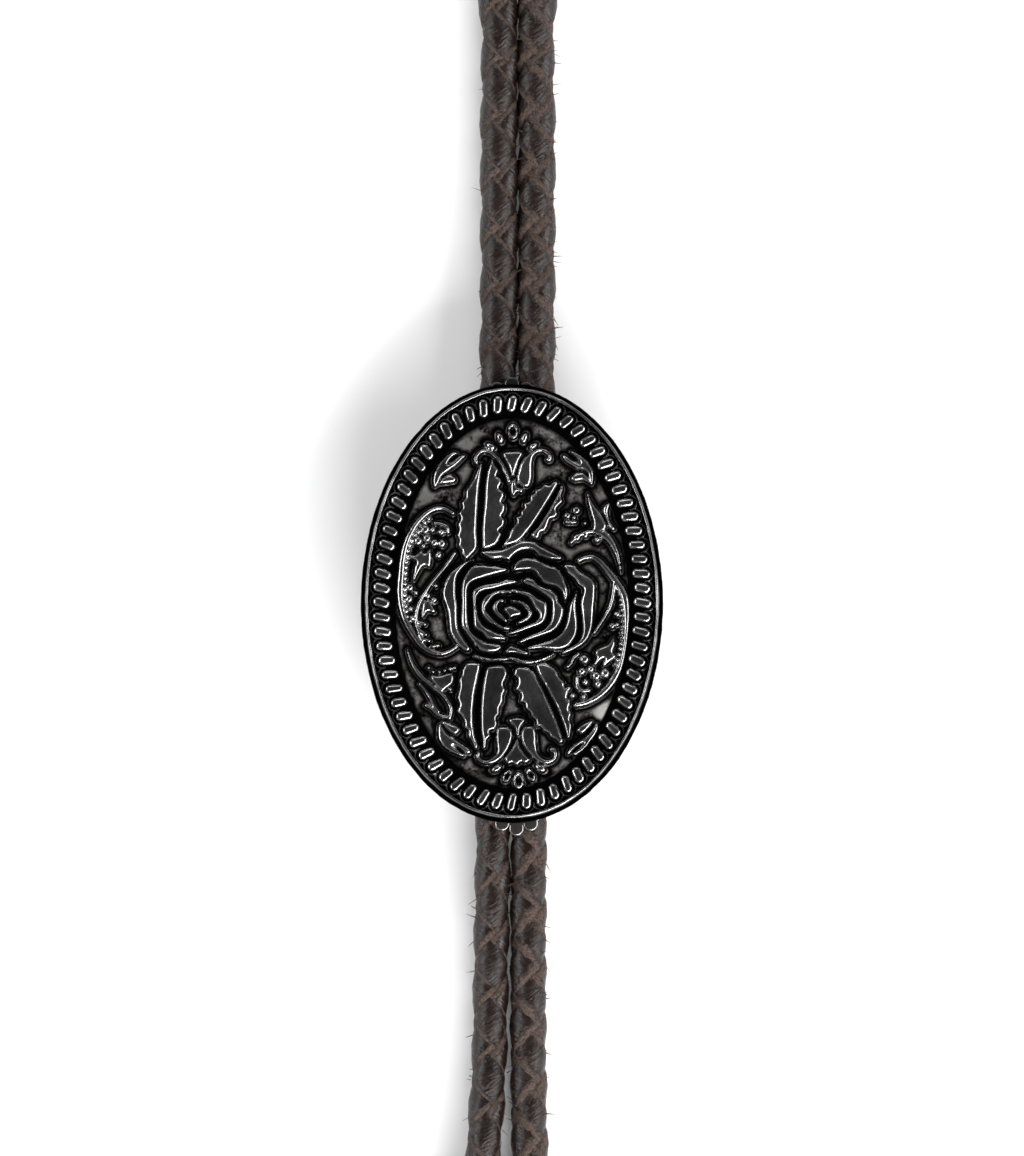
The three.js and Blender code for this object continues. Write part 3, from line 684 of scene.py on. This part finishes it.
# round berries and beads: middle and radius.
berries = [
    (-7.9, 7.9, 0.33), (-9.7, 8.2, 0.42), (-10.5, 7.95, 0.3), (-10.5, 6.9, 0.4), (-9.5, 7.2, 0.38),
    (-8.7, 6.7, 0.36), (-7.85, 6.6, 0.38), (-8.9, 8.15, 0.28), (-8.2, 5.35, 0.34), (-9.9, 6.35, 0.26),
    (-11.4, 1.7, 0.36), (-10.75, 1.1, 0.24), (-11.5, 0.4, 0.36), (-9.4, 0.75, 0.3), (-8.7, 0.3, 0.3),
    (-8.5, 1.9, 0.25), (-11.3, -0.7, 0.26), (-11.15, -1.75, 0.28), (-11.6, -2.2, 0.2),
    (8.1, -6.35, 0.42), (7.8, -7.7, 0.36), (8.8, -7.45, 0.34), (9.4, -8.2, 0.4), (10.4, -7.9, 0.42),
    (9.6, -9.1, 0.34), (8.2, -8.9, 0.3), (8.0, -10.55, 0.26), (6.8, -10.4, 0.26), (6.3, -9.6, 0.24),
    (11.75, -1.3, 0.3), (11.2, -2.6, 0.32), (11.75, -2.45, 0.22), (7.2, 10.35, 0.4), (6.2, 9.75, 0.34),
    (6.95, 9.5, 0.24), (7.25, 7.3, 0.36), (8.2, 7.5, 0.28), (9.5, 7.05, 0.3), (8.15, 8.9, 0.2),
    (-8.8, -7.75, 0.2), (-8.1, -7.75, 0.2), (-7.5, -7.6, 0.2), (-6.9, -7.4, 0.24), (-6.4, -7.3, 0.22),
    (-9.3, -7.3, 0.2), (-7.6, -9.15, 0.2), (-6.85, -9.7, 0.2),
]

# rows of fine beads along the inner side of the two large scrolls.
beadRows = [
    [(-9.3, 9.4), (-10.6, 8.1), (-11.5, 6.0), (-11.85, 3.5), (-11.95, 1.2), (-11.8, -0.9), (-11.5, -2.4)],
    [(12.0, 1.6), (12.25, 0.2), (12.35, -1.8), (12.3, -3.8), (12.0, -5.6), (11.5, -7.2)],
]


def closedSmooth(points, perPart=5):
    ring = np.array(points, float)
    before, after, second = np.roll(ring, 1, axis=0), np.roll(ring, -1, axis=0), np.roll(ring, -2, axis=0)
    parts = []
    for i in range(perPart):
        t = i / perPart
        parts.append(
            0.5 * (2 * ring + (after - before) * t + (2 * before - 5 * ring + 4 * after - second) * t**2
                   + (3 * ring - before - 3 * after + second) * t**3)
        )
    return np.stack(parts, axis=1).reshape(-1, 2)


# distance from each place to a line of straight parts, with the share of the way along the nearest one
def distanceTo(places, line, closed):
    start = line if closed else line[:-1]
    end = np.roll(line, -1, axis=0) if closed else line[1:]
    best = np.full(len(places), 1e9)
    share = np.zeros(len(places))
    count = len(start)
    for i in range(count):
        part = end[i] - start[i]
        t = np.clip((places - start[i]) @ part / max(part @ part, 1e-9), 0, 1)
        gap = np.linalg.norm(places - start[i] - t[:, None] * part, axis=1)
        nearer = gap < best
        best[nearer] = gap[nearer]
        share[nearer] = (i + t[nearer]) / count
    return best, share


def insideOf(places, ring):
    x, y = places[:, 0], places[:, 1]
    found = np.zeros(len(places), bool)
    for (x0, y0), (x1, y1) in zip(ring, np.roll(ring, -1, axis=0)):
        if y0 == y1:
            continue
        crosses = ((y0 > y) != (y1 > y)) & (x < (x1 - x0) * (y - y0) / (y1 - y0) + x0)
        found ^= crosses
    return found


class Relief:
    # for every place: how deep it lies inside a raised part, below zero outside, and that part's height
    def __init__(self, places):
        self.places = places
        self.depth = np.full(len(places), -3.0)
        self.height = np.full(len(places), 0.7)

    def near(self, points, reach=1.4):
        low, high = points.min(axis=0) - reach, points.max(axis=0) + reach
        return np.nonzero(((self.places > low) & (self.places < high)).all(axis=1))[0]

    def keep(self, found, depth, height):
        deeper = depth > self.depth[found]
        self.depth[found[deeper]] = depth[deeper]
        self.height[found[deeper]] = height

    def outline(self, points, height, swell):
        ring = closedSmooth(points)
        found = self.near(ring)
        gap, _ = distanceTo(self.places[found], ring, True)
        self.keep(found, np.where(insideOf(self.places[found], ring), gap, -gap) + swell, height)

    def stroke(self, points, widths, height):
        line = np.array(smoothLine([(x, y, 0) for x, y in points], 6))[:, :2]
        found = self.near(line)
        gap, share = distanceTo(self.places[found], line, False)
        half = np.interp(share, (0, 0.5, 1), widths) * raisedParts["strokeHalf"]
        self.keep(found, half - gap, height)

    def oval(self, x, y, half, wide, turn, hollow, height):
        found = self.near(np.array([(x - half, y - half), (x + half, y + half)]))
        away = self.places[found] - (x, y)
        c, s = math.cos(math.radians(turn)), math.sin(math.radians(turn))
        along, across = away @ (c, s), away @ (-s, c)
        size = np.sqrt((along / half) ** 2 + (across / wide) ** 2)
        depth = (1 - size) * wide
        if hollow:
            depth = np.minimum(depth, (size - raisedParts["hollow"]) * wide)
        self.keep(found, depth, height)


# heights over the ground in millimetres, and how far an outline is swollen
raisedParts = {
    "bud": 0.95,
    "petal": 0.85,
    "leaf": 0.78,
    "flowerSwell": 0.06,
    "small": 0.72,
    "smallSwell": 0.1,
    "stroke": 0.72,
    "strokeHalf": 0.66,         # half width as a share of the width given
    "drop": 0.75,
    "hollow": 0.38,             # share of a drop that is hollowed
    "berry": 0.7,
    "berrySize": 1.35,
    "bead": 0.55,
    "beadSize": (0.3, 0.28),
    "beadSpacing": 0.62,
}


def carveRelief(places):
    relief = Relief(places)
    parts = raisedParts
    for name, points in petals.items():
        relief.outline(points, parts["bud"] if "bud" in name else parts["petal"], parts["flowerSwell"])
    for points in leafHalves.values():
        relief.outline(points, parts["leaf"], parts["flowerSwell"])
    for points in smallShapes.values():
        relief.outline(points, parts["small"], parts["smallSwell"])
    for points, widths in strokes:
        relief.stroke(points, widths, parts["stroke"])
    for drop in drops:
        relief.oval(*drop, parts["drop"])
    for x, y, radius in berries:
        size = radius * parts["berrySize"]
        relief.oval(x, y, size, size, 0, 0, parts["berry"])
    for row in beadRows:
        line = smoothLine([(x, y, 0) for x, y in row], 12)
        along = lengthsAlong(line)
        for place in np.arange(0, along[-1], parts["beadSpacing"]):
            x, y = (np.interp(place, along, line[:, k]) for k in (0, 1))
            relief.oval(x, y, *parts["beadSize"], 0, 0, parts["bead"])
    return relief


# the front of the casting inside the rope border: a fine grid, cut to the oval and raised
def makeField(bm, recess, ground):
    wide = ornament["halfWidth"] - ornament["fieldInset"]
    high = ornament["halfHeight"] - ornament["fieldInset"]
    step = ornament["spacing"]
    nx, ny = int(2 * wide / step) + 3, int(2 * high / step) + 3
    grid = bmesh.ops.create_grid(bm, x_segments=nx, y_segments=ny, size=0.5)["verts"]
    bmesh.ops.scale(bm, vec=(nx * step, ny * step, 1), verts=grid)
    size = {v: math.hypot(v.co.x / wide, v.co.y / high) for v in grid}
    far = [v for v in grid if size[v] > 1 and all(size[e.other_vert(v)] > 1 for e in v.link_edges)]
    kept = set(grid) - set(far)
    bmesh.ops.delete(bm, geom=far, context="VERTS")
    loose = [v for v in kept if not v.link_faces]
    bmesh.ops.delete(bm, geom=loose, context="VERTS")
    kept = [v for v in kept if v.is_valid]
    for vert in kept:
        if vert.is_boundary:
            vert.co.x /= size[vert]
            vert.co.y /= size[vert]
    places = np.array([v.co.xy for v in kept])
    relief = carveRelief(places)
    soft = ornament["soft"]
    share = np.clip(relief.depth / soft, 0, 1)
    raised = relief.height * np.sqrt(1 - (1 - share) ** 2)
    raised += ornament["crown"] * np.clip(relief.depth - soft, 0, 1.2) ** 0.8
    fillet = np.clip(1 + relief.depth / ornament["filletReach"], 0, 1) ** 2 * (relief.depth < 0)
    rim = (1 - np.hypot(places[:, 0] / wide, places[:, 1] / high)) * wide
    edge = 1 - np.sqrt(1 - (1 - np.clip(rim / ornament["edgeReach"], 0, 1)) ** 2)
    level = ornament["field"] + raised + ornament["fillet"] * fillet - ornament["edgeDrop"] * edge
    blackened = np.clip((0.02 - relief.depth) / 0.1, 0, 1)
    sandy = np.clip((-relief.depth - 0.32) / 0.45, 0, 1) * np.clip((rim - 0.12) / 0.3, 0, 1)
    for i, vert in enumerate(kept):
        swell = noise.noise(Vector((vert.co.x, vert.co.y, 3)) * 0.8) * 0.05
        swell += noise.noise(Vector((vert.co.x, vert.co.y, 9)) * 2.6) * 0.02
        vert.co.z = level[i] + swell * (share[i] > 0)
        vert[recess] = blackened[i]
        vert[ground] = sandy[i]
    border = list({e for v in kept for e in v.link_edges if e.is_boundary})
    skirt = bmesh.ops.extrude_edge_only(bm, edges=border)["geom"]
    low = vertsOf(skirt)
    for vert in low:
        vert.co.z = ornament["base"]
        vert[recess] = 1
    lowest = {e for v in low for e in v.link_edges if e.is_boundary}
    bmesh.ops.contextual_create(bm, geom=list(lowest))


def makeOrnament():
    bm = bmesh.new()
    recess = bm.verts.layers.float.new("recess")
    ground = bm.verts.layers.float.new("ground")
    makePlate(bm, recess)
    makeRibs(bm, recess)
    makeField(bm, recess, ground)
    bmesh.ops.translate(bm, verts=bm.verts, vec=(0, 0, ornament["back"]))
    return finishMesh(bm, "ornament_casting", 75)


casting = makeOrnament()
print("ornament cast:", len(casting.data.polygons), "faces")


# frayed fibres that stand out from the cut edges of the laces
fibres = {
    "count": 420,
    "length": (0.35, 1.3),
    "thickness": (0.04, 0.09),
    "taper": 0.25,
    "rootsAt": (1.85, 2.05),    # from the cord's centre line
    "lowest": 0.1,
    "shares": (0.18, 0.62, 0.1, 0.1),  # neck left, neck right, left end, right end
}


def makeFibres():
    rand = random.Random(11)
    bm = bmesh.new()
    edgeLayer = bm.verts.layers.float.new("cutEdge")
    bm.loops.layers.uv.new("lace")
    routes = (neckRoute[3:9], neckRoute[-9:-3], leftEndRoute[1:5], rightEndRoute[1:5])
    lines = [smoothLine(route) for route in routes]
    for number in range(fibres["count"]):
        line = rand.choices(lines, fibres["shares"])[0]
        centre = Vector(line[rand.randrange(len(line))])
        angle = math.radians(rand.choice((rand.gauss(20, 25), rand.gauss(160, 25), rand.uniform(20, 160))))
        outward = Vector((math.cos(angle), 0, math.sin(angle)))
        length, thick = rand.uniform(*fibres["length"]), rand.uniform(*fibres["thickness"])
        lean = outward + Vector((rand.gauss(0, 0.5), rand.gauss(-0.3, 0.8), rand.gauss(0, 0.4)))
        point = thick * fibres["taper"]
        made = bmesh.ops.create_cone(
            bm, cap_ends=True, segments=4, radius1=thick, radius2=point, depth=length,
        )["verts"]
        bmesh.ops.translate(bm, verts=made, vec=(0, 0, length / 2))
        turn = Vector((0, 0, 1)).rotation_difference(lean)
        turnVerts(bm, made, turn.to_matrix())
        bmesh.ops.translate(bm, verts=made, vec=centre + outward * rand.uniform(*fibres["rootsAt"]))
        for vert in made:
            vert[edgeLayer] = 1
            vert.co.z = max(vert.co.z, fibres["lowest"])
    return finishMesh(bm, "frayed_fibres", 60)


# the folded clip behind the ornament, a rounded sleeve with a tongue at each end
clip = {
    "centre": 0.3,
    "halfWidth": 5.5,
    "top": 6.2,
    "wall": 0.8,
    "reach": 15.0,              # half its length
    "round": 1.5,
    "rimRound": 0.2,
    "tongueRound": 0.14,
    # a tongue's outline: how far out, and half its width there
    "tongue": ((14.6, 5.5), (15.4, 5.4), (17.5, 4.3), (20, 2.9), (22.5, 2.75), (23.6, 2.75)),
    "lobes": ((1.6, 24.15), (0.0, 24.7), (-1.6, 24.15)),
    "lobe": 0.8,
    "lowerShift": (0.5, 0.45),  # how far the lower tongue lies to the right, and further out
}


def makeClip():
    bm = bmesh.new()
    half, top, reach = clip["halfWidth"], clip["top"], clip["reach"]
    made = bmesh.ops.create_cube(bm, size=1)["verts"]
    bmesh.ops.scale(bm, vec=(2 * half, 2 * reach, top), verts=made)
    bmesh.ops.translate(bm, vec=(clip["centre"], 0, top / 2), verts=made)
    long = [e for e in bm.edges if abs(e.verts[0].co.y - e.verts[1].co.y) > reach]
    roundEdges(bm, long, clip["round"], 6)
    ends = [f for f in bm.faces if abs(f.normal.y) > 0.9]
    bmesh.ops.delete(bm, geom=ends, context="FACES_ONLY")
    bmesh.ops.solidify(bm, geom=bm.faces, thickness=clip["wall"])
    bm.normal_update()
    rims = [
        e for e in bm.edges
        if abs(abs(e.verts[0].co.y) - reach) < 0.01 and abs(abs(e.verts[1].co.y) - reach) < 0.01
        and any(abs(f.normal.y) < 0.5 for f in e.link_faces)
    ]
    roundEdges(bm, rims, clip["rimRound"], 2)
    return bm


# a tongue lies against the ornament's back and ends in three round lobes
def addTongue(bm, end):
    shift, further = (0.0, 0.0) if end > 0 else clip["lowerShift"]
    right, left, tip = [], [], []
    for y, half in clip["tongue"]:
        share = (y - 14) / 9
        middle = clip["centre"] * (1 - share) + shift * share
        right.append((middle + half, y + further * share))
        left.append((middle - half, y + further * share))
    for across, out in clip["lobes"]:
        for turn in range(-20, 201, 20):
            x = across + clip["lobe"] * math.cos(math.radians(turn))
            y = out + further + clip["lobe"] * math.sin(math.radians(turn))
            tip.append((x + shift, y))
    points = right + tip + left[::-1]
    low = clip["top"] - clip["wall"]
    verts = [bm.verts.new((x, y * end, low)) for x, y in points]
    edges = [bm.edges.new((a, b)) for a, b in zip(verts, verts[1:] + verts[:1])]
    face = bmesh.ops.contextual_create(bm, geom=edges)["faces"][0]
    grown = bmesh.ops.extrude_face_region(bm, geom=[face])["geom"]
    lifted = vertsOf(grown)
    bmesh.ops.translate(bm, verts=lifted, vec=(0, 0, clip["wall"]))
    flat = {e for v in lifted + verts for e in v.link_edges}
    rims = [e for e in flat if abs(e.verts[0].co.z - e.verts[1].co.z) < 0.01]
    roundEdges(bm, rims, clip["tongueRound"], 3)


frayed = makeFibres()
clipMesh = makeClip()
addTongue(clipMesh, 1)
addTongue(clipMesh, -1)
clipPiece = finishMesh(clipMesh, "folded_clip", 50)


# a tapered metal tip on each cord end
tips = {
    "left": {"mouth": (-3.72, -67, 2.81), "ahead": (-0.06, -1, -0.0189)},
    "right": {"mouth": (2.4, -67, 2.81), "ahead": (0.036, -1, -0.0189)},
}
# distance from the axis, and distance from the mouth
tipProfile = [
    (0.0, 12.0), (2.3, 12.0), (2.3, 6.0), (2.3, 0.3), (2.42, 0.06), (2.58, 0.0), (2.7, 0.05), (2.75, 0.2),
    (2.75, 0.9), (2.72, 1.0), (2.6, 1.08), (2.56, 1.2), (2.6, 1.32), (2.71, 1.4), (2.74, 1.5), (2.74, 2.6),
    (2.71, 2.7), (2.6, 2.78), (2.56, 2.9), (2.6, 3.02), (2.69, 3.1), (2.71, 3.3), (2.45, 16.0), (2.2, 29.0),
    (1.95, 41.5), (1.93, 42.2), (1.83, 42.3), (1.8, 42.45), (1.83, 42.6), (1.9, 42.75), (1.88, 43.3),
    (1.7, 44.0), (1.35, 44.55), (0.8, 44.9), (0.35, 44.99), (0.0, 45.0),
]


def makeTip(name, facts):
    bm = bmesh.new()
    verts = [bm.verts.new((r, 0, z)) for r, z in tipProfile]
    edges = [bm.edges.new((a, b)) for a, b in zip(verts, verts[1:])]
    bmesh.ops.spin(
        bm, geom=verts + edges, cent=(0, 0, 0), axis=(0, 0, 1), angle=2 * math.pi, steps=48, use_merge=True,
    )
    bmesh.ops.remove_doubles(bm, verts=bm.verts, dist=0.001)
    turn = Vector((0, 0, 1)).rotation_difference(Vector(facts["ahead"]))
    turnVerts(bm, bm.verts, turn.to_matrix())
    bmesh.ops.translate(bm, verts=bm.verts, vec=facts["mouth"])
    return finishMesh(bm, name, 40)


leftTip = makeTip("left_tip_metal", tips["left"])
rightTip = makeTip("right_tip_metal", tips["right"])
print("clip and tips made")


# materials

class Value:
    # one output of a node, so that a pattern is written as a sum
    def __init__(self, finish, socket):
        self.finish = finish
        self.socket = socket

    def maths(self, operation, first, second):
        return self.finish.node("Math", {"operation": operation}, {0: first, 1: second})

    def __add__(self, other):
        return self.maths("ADD", self, other)

    def __radd__(self, other):
        return self.maths("ADD", other, self)

    def __sub__(self, other):
        return self.maths("SUBTRACT", self, other)

    def __rsub__(self, other):
        return self.maths("SUBTRACT", other, self)

    def __mul__(self, other):
        return self.maths("MULTIPLY", self, other)

    def __rmul__(self, other):
        return self.maths("MULTIPLY", other, self)

    def clamp(self, low=0.0, high=1.0):
        return self.finish.node("Clamp", {}, {"Value": self, "Min": low, "Max": high})

    def ramp(self, low, high):
        names = {"Value": self, "From Min": low, "From Max": high}
        return self.finish.node("MapRange", {"interpolation_type": "SMOOTHSTEP"}, names)

    def mix(self, first, second):
        names = {0: self, 6: first, 7: second}
        return self.finish.node("Mix", {"data_type": "RGBA"}, names, 2)


class Finish:
    # a material or the world, and the ways to add nodes to it
    def __init__(self, owner):
        self.owner = owner
        owner.use_nodes = True
        self.tree = owner.node_tree
        self.shader = next(n for n in self.tree.nodes if n.type in ("BSDF_PRINCIPLED", "BACKGROUND"))

    def node(self, kind, settings, values, out=0):
        made = self.tree.nodes.new("ShaderNode" + kind)
        for setting, value in settings.items():
            setattr(made, setting, value)
        for key, value in values.items():
            self.put(made.inputs[key], value)
        return Value(self, made.outputs[out])

    def put(self, socket, value):
        if isinstance(value, Value):
            self.tree.links.new(value.socket, socket)
        elif isinstance(value, tuple) and len(value) == 3 and socket.type == "RGBA":
            socket.default_value = (*value, 1)
        else:
            socket.default_value = value

    # place on the object in millimetres
    def place(self):
        where = self.node("TexCoord", {}, {}, 3)
        return self.node("VectorMath", {"operation": "SCALE"}, {0: where, "Scale": 1000.0})

    def noise(self, where, scale, detail, rough):
        values = {"Vector": where, "Scale": scale, "Detail": detail, "Roughness": rough}
        return self.node("TexNoise", {}, values)

    def attribute(self, name):
        return self.node("Attribute", {"attribute_name": name}, {}, 2)

    def bump(self, height, distance, strength, onto=None):
        values = {"Height": height, "Distance": distance * mm, "Strength": strength}
        if onto is not None:
            values["Normal"] = onto
        return self.node("Bump", {}, values)

    def set(self, **values):
        for key, value in values.items():
            self.put(self.shader.inputs[key.replace("_", " ")], value)

    def onto(self, piece, slotName):
        piece.data.materials.clear()
        piece.data.materials.append(self.owner)


blackening = {
    "worn": ((0.17, 0.168, 0.168), (0.34, 0.34, 0.34)),
    "rim": (0.04, 0.03, 0.024),
    "grooves": (0.004, 0.004, 0.0045),
    "sand": (0.15, 0.145, 0.135),
    "bare": (0.45, 0.44, 0.41),
    "bareAt": (10.6, -12.4, 7.8),   # middle of a patch of paler sandy ground
    "edgeTint": (0.3, 0.28, 0.27),
}


def blackenedNickel():
    f = Finish(bpy.data.materials.new("blackened_nickel"))
    where = f.place()
    recess = f.attribute("recess").clamp()
    ground = f.attribute("ground").clamp()
    height = f.node("SeparateXYZ", {}, {0: where}, 2)
    blotch = f.noise(where, 0.7, 3.0, 0.6)
    fine = f.noise(where, 3.2, 3.0, 0.6)
    grain = f.noise(where, 9.0, 2.0, 0.7)
    away = f.node("VectorMath", {"operation": "DISTANCE"}, {0: where, 1: blackening["bareAt"]}, 1)
    # a patch of paler, sandier ground round one point of the ornament, with a lighter base colour
    bare = 1 - (away + blotch).ramp(1.0, 2.6)
    sand = (ground * ((blotch * 1.5 + fine * 0.9 - 0.7).ramp(0.1, 0.75) + bare)).clamp()
    worn = (f.noise(where, 0.3, 2.0, 0.5) * 0.8 + fine * 0.2).ramp(0.35, 0.65)
    low = 1 - height.ramp(7.2, 8.4)
    colour = low.mix(worn.mix(*blackening["worn"]), blackening["rim"])
    colour = recess.mix(colour, blackening["grooves"])
    colour = sand.mix(colour, bare.mix(blackening["sand"], blackening["bare"]))
    rough = 0.13 + 0.1 * fine + 0.26 * sand + 0.3 * low
    bump = f.bump(fine, 0.05, 0.35)
    bump = f.bump(grain * (sand * 0.8 + low * 0.6 + 0.03), 0.09, 0.8, bump)
    f.set(Base_Color=colour, Metallic=1.0, Roughness=rough, Normal=bump)
    f.set(Specular_Tint=blackening["edgeTint"])
    return f


plating = {
    "metal": ((0.5, 0.49, 0.47), (0.66, 0.65, 0.63)),
    # dark colour standing for grime together with painted shade on the tongue lobes
    "grimeAndPaintedShade": (0.04, 0.038, 0.036),
    "upperGrimeAndPaintedShade": 0.9,          # grime and painted shade on the lobes above the casting
    "lowerGrimeAndPaintedShade": 0.54,         # grime and painted shade on the lobes below it
}


def brightNickel():
    f = Finish(bpy.data.materials.new("bright_nickel"))
    where = f.place()
    blotch = f.noise(where, 0.5, 3.0, 0.6)
    scuff = f.noise(f.node("Mapping", {}, {"Vector": where, "Scale": (1.0, 0.08, 1.0)}), 6.0, 3.0, 0.6)
    along = f.node("SeparateXYZ", {}, {0: where}, 1)
    below = 0 - along
    lowerLobes = below.ramp(23.0, 24.0) - below.ramp(27.0, 29.0)
    # painted shade together with grime: the lobes above and below the casting are darkened
    grimeAndPaintedShade = along.ramp(18.0, 22.0) * plating["upperGrimeAndPaintedShade"] + lowerLobes * plating["lowerGrimeAndPaintedShade"]
    colour = grimeAndPaintedShade.mix(blotch.mix(*plating["metal"]), plating["grimeAndPaintedShade"])
    f.set(Base_Color=colour, Metallic=1.0, Roughness=0.16 + 0.16 * scuff)
    f.set(Normal=f.bump(scuff, 0.01, 0.4))
    return f


hideLook = {
    "hide": ((0.004, 0.0025, 0.002), (0.016, 0.009, 0.0075)),
    "creases": (0.04, 0.023, 0.018),
    "suede": ((0.025, 0.015, 0.012), (0.14, 0.095, 0.075)),
    "rightHand": 0.3,           # how much more suede the cord on the right shows
    "gloss": 0.3,
}


def braidedLeather():
    f = Finish(bpy.data.materials.new("braided_leather"))
    where = f.place()
    cut = f.attribute("cutEdge").clamp()
    lace = f.node("UVMap", {"uv_map": "lace"}, {})
    across = f.node("Mapping", {}, {"Vector": lace, "Scale": (0.2, 1.0, 1.0)})
    blotch = f.noise(where, 0.22, 3.0, 0.6)
    crease = f.noise(across, 4.2, 3.0, 0.6)
    grain = f.noise(where, 6.0, 3.0, 0.65)
    fuzz = f.noise(where, 4.0, 4.0, 0.75)
    ragged = f.noise(where, 0.9, 3.0, 0.7)
    rightHand = f.node("SeparateXYZ", {}, {0: where}, 0).ramp(0.2, 1.2)
    suede = cut + hideLook["rightHand"] * rightHand + (ragged - 0.5) * 1.1 + (fuzz - 0.5) * 0.6
    suede = suede.ramp(0.42, 0.7)
    hide = (crease.ramp(0.4, 0.75) * 0.4).mix(blotch.mix(*hideLook["hide"]), hideLook["creases"])
    colour = suede.mix(hide, fuzz.ramp(0.3, 0.7).mix(*hideLook["suede"]))
    rough = 0.16 + 0.14 * grain + 0.5 * suede
    bump = f.bump(crease, 0.22, 0.8)
    bump = f.bump(grain, 0.06, 0.5, bump)
    bump = f.bump(fuzz * suede, 0.45, 1.0, bump)
    f.set(Base_Color=colour, Roughness=rough, Normal=bump, Specular_IOR_Level=hideLook["gloss"])
    return f


leather, nickel, blackened = braidedLeather(), brightNickel(), blackenedNickel()
for piece in (neckCord, leftEnd, rightEnd, frayed):
    leather.onto(piece, "braided_leather")
for piece in (clipPiece, leftTip, rightTip):
    nickel.onto(piece, "bright_nickel")
blackened.onto(casting, "blackened_nickel")


# what each piece stands for, and what it rides on
standsFor = [
    (neckCord, "neck_cord"), (leftEnd, "left_cord_end"), (rightEnd, "right_cord_end"), (casting, "concho"),
    (clipPiece, "slide_clip"), (leftTip, "left_tip"), (rightTip, "right_tip"),
]
for piece, node in standsFor:
    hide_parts(node)
    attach(piece, "root")
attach(frayed, "root")

print("pieces declared")


# floor and lights
def makeFloor():
    bm = bmesh.new()
    bmesh.ops.create_grid(bm, x_segments=4, y_segments=4, size=studio["floor"] / 2)
    mesh = bpy.data.meshes.new("floor")
    bm.to_mesh(mesh)
    bm.free()
    floor = addPiece("floor", mesh)
    f = Finish(bpy.data.materials.new("pale_floor"))
    f.set(Base_Color=studio["floorTone"], Roughness=0.9)
    f.set(Emission_Color=(1, 1, 1), Emission_Strength=studio["floorGlow"])
    floor.data.materials.append(f.owner)


# name, azimuth from the right hand side, elevation, distance in metres, width, height, watts
lamps = [
    ("tips_side", -70, 28, 0.9, 0.6, 0.35, 12.0),
    ("right_side", -15, 30, 0.9, 0.9, 0.35, 8.5),
    ("left_side", 175, 30, 1.0, 0.8, 0.3, 7.0),
    ("neck_side", 90, 35, 1.1, 0.8, 0.3, 2.5),
]


def makeLamps():
    for name, azimuth, elevation, distance, width, height, strength in lamps:
        data = bpy.data.lights.new(name, "AREA")
        data.shape = "RECTANGLE"
        data.size, data.size_y = width, height
        data.energy = strength
        lamp = bpy.data.objects.new(name, data)
        a, e = math.radians(azimuth), math.radians(elevation)
        away = Vector((math.cos(a) * math.cos(e), math.sin(a) * math.cos(e), math.sin(e)))
        lamp.location = away * distance
        lamp.rotation_euler = (-lamp.location).to_track_quat("-Z", "Y").to_euler()
        bpy.context.collection.objects.link(lamp)
    world = bpy.data.worlds.new("studio")
    sky = Finish(world)
    up = sky.node("SeparateXYZ", {}, {0: sky.node("TexCoord", {}, {})}, 2)
    sky.set(Color=up.ramp(0.45, 1.0).mix(studio["horizon"], studio["zenith"]))
    bpy.context.scene.world = world
    bpy.context.scene.view_settings.view_transform = "Standard"


makeFloor()
makeLamps()
print("floor and lights placed")
